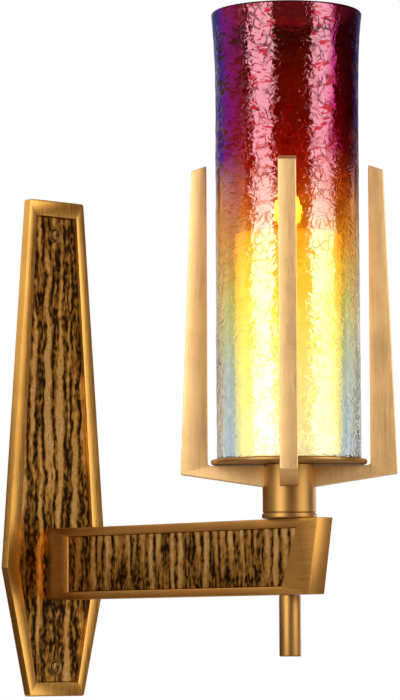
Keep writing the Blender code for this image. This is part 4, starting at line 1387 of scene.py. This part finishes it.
def floor_paint():
    """Matt white studio floor, faintly mottled."""
    material, tree, place = new_material("studio_floor")
    cloud = noise(tree, place, 3.0, 3.0)
    colour = ramp(tree, cloud, [(0.3, "#EDECEA"), (0.7, "#F4F3F1")])
    # Metal mirrors a darker floor far out, as it would in a room, so that faces turned down stay deep.
    away = calc_vector(tree, "DISTANCE", place, (0.0, 0.0, FLOOR_Z), out="Value")
    far = scaled(tree, away, (2.6, 3.4))
    mirrored = add(tree, "ShaderNodeLightPath", out="Is Glossy Ray")
    dark = calc(tree, "MULTIPLY", far, mirrored)
    shown = mixed(tree, dark, colour, linear("#2E2010"))
    shader = add(tree, "ShaderNodeBsdfPrincipled", {"Base Color": shown, "Roughness": 0.7})
    return surfaced(material, shader)


class LAMP_OT_stage(bpy.types.Operator):
    """Sets up the camera, the floor, the softboxes and the world"""

    bl_idname = "lamp.stage"
    bl_label = "Stage"

    def execute(self, context):
        look = context.scene.lamp_stage
        context.scene.view_settings.view_transform = "Standard"
        place_camera(look)
        floor = rod("studio_floor", FLOOR_RADIUS, FLOOR_Z - 0.02, FLOOR_Z, 96, AXIS)
        floor.data.materials.append(floor_paint())
        for name, box in SOFTBOXES.items():
            soft_panel(name, look, *box)
        flame_data = bpy.data.lights.new("flame_light", "POINT")
        flame_data.energy = 0.35
        flame_data.color = linear("#FFC877")[:3]
        flame_data.shadow_soft_size = 0.008
        flame = new_piece("flame_light", flame_data)
        flame.location = AXIS + Vector((0, 0, WICK_HIGH.z + 0.014))
        flame.visible_camera = False
        make_world()
        return {"FINISHED"}


# ---------------------------------------------------------------- add-on

BUILDERS = (
    LAMP_OT_stage,
    LAMP_OT_wall_plate,
    LAMP_OT_bark_panels,
    LAMP_OT_arm,
    LAMP_OT_fasteners,
    LAMP_OT_hub,
    LAMP_OT_fins,
    LAMP_OT_gallery,
    LAMP_OT_hidden_parts,
    LAMP_OT_glass,
    LAMP_OT_candle,
)


class LAMP_PT_sidebar(bpy.types.Panel):
    """Lists the lamp's pieces and their settings"""

    bl_idname = "LAMP_PT_sidebar"
    bl_label = "Sanctuary Lamp"
    bl_space_type = "VIEW_3D"
    bl_region_type = "UI"
    bl_category = "Lamp"

    def draw(self, context):
        for settings in SETTINGS:
            group = getattr(context.scene, settings)
            for key in group.__annotations__:
                self.layout.prop(group, key)
        for builder in BUILDERS:
            self.layout.operator(builder.bl_idname)


SETTINGS = {
    "lamp_bronze": LampBronze,
    "lamp_glass": LampGlass,
    "lamp_candle": LampCandle,
    "lamp_stage": LampStage,
}


def register():
    for kind in (*SETTINGS.values(), *BUILDERS, LAMP_PT_sidebar):
        bpy.utils.register_class(kind)
    for key, kind in SETTINGS.items():
        setattr(bpy.types.Scene, key, PointerProperty(type=kind))


def unregister():
    for key in SETTINGS:
        delattr(bpy.types.Scene, key)
    for kind in reversed((*SETTINGS.values(), *BUILDERS, LAMP_PT_sidebar)):
        bpy.utils.unregister_class(kind)


def main():
    register()
    for builder in BUILDERS:
        group, name = builder.bl_idname.split(".")
        getattr(getattr(bpy.ops, group), name)()


if __name__ == "__main__":
    main()
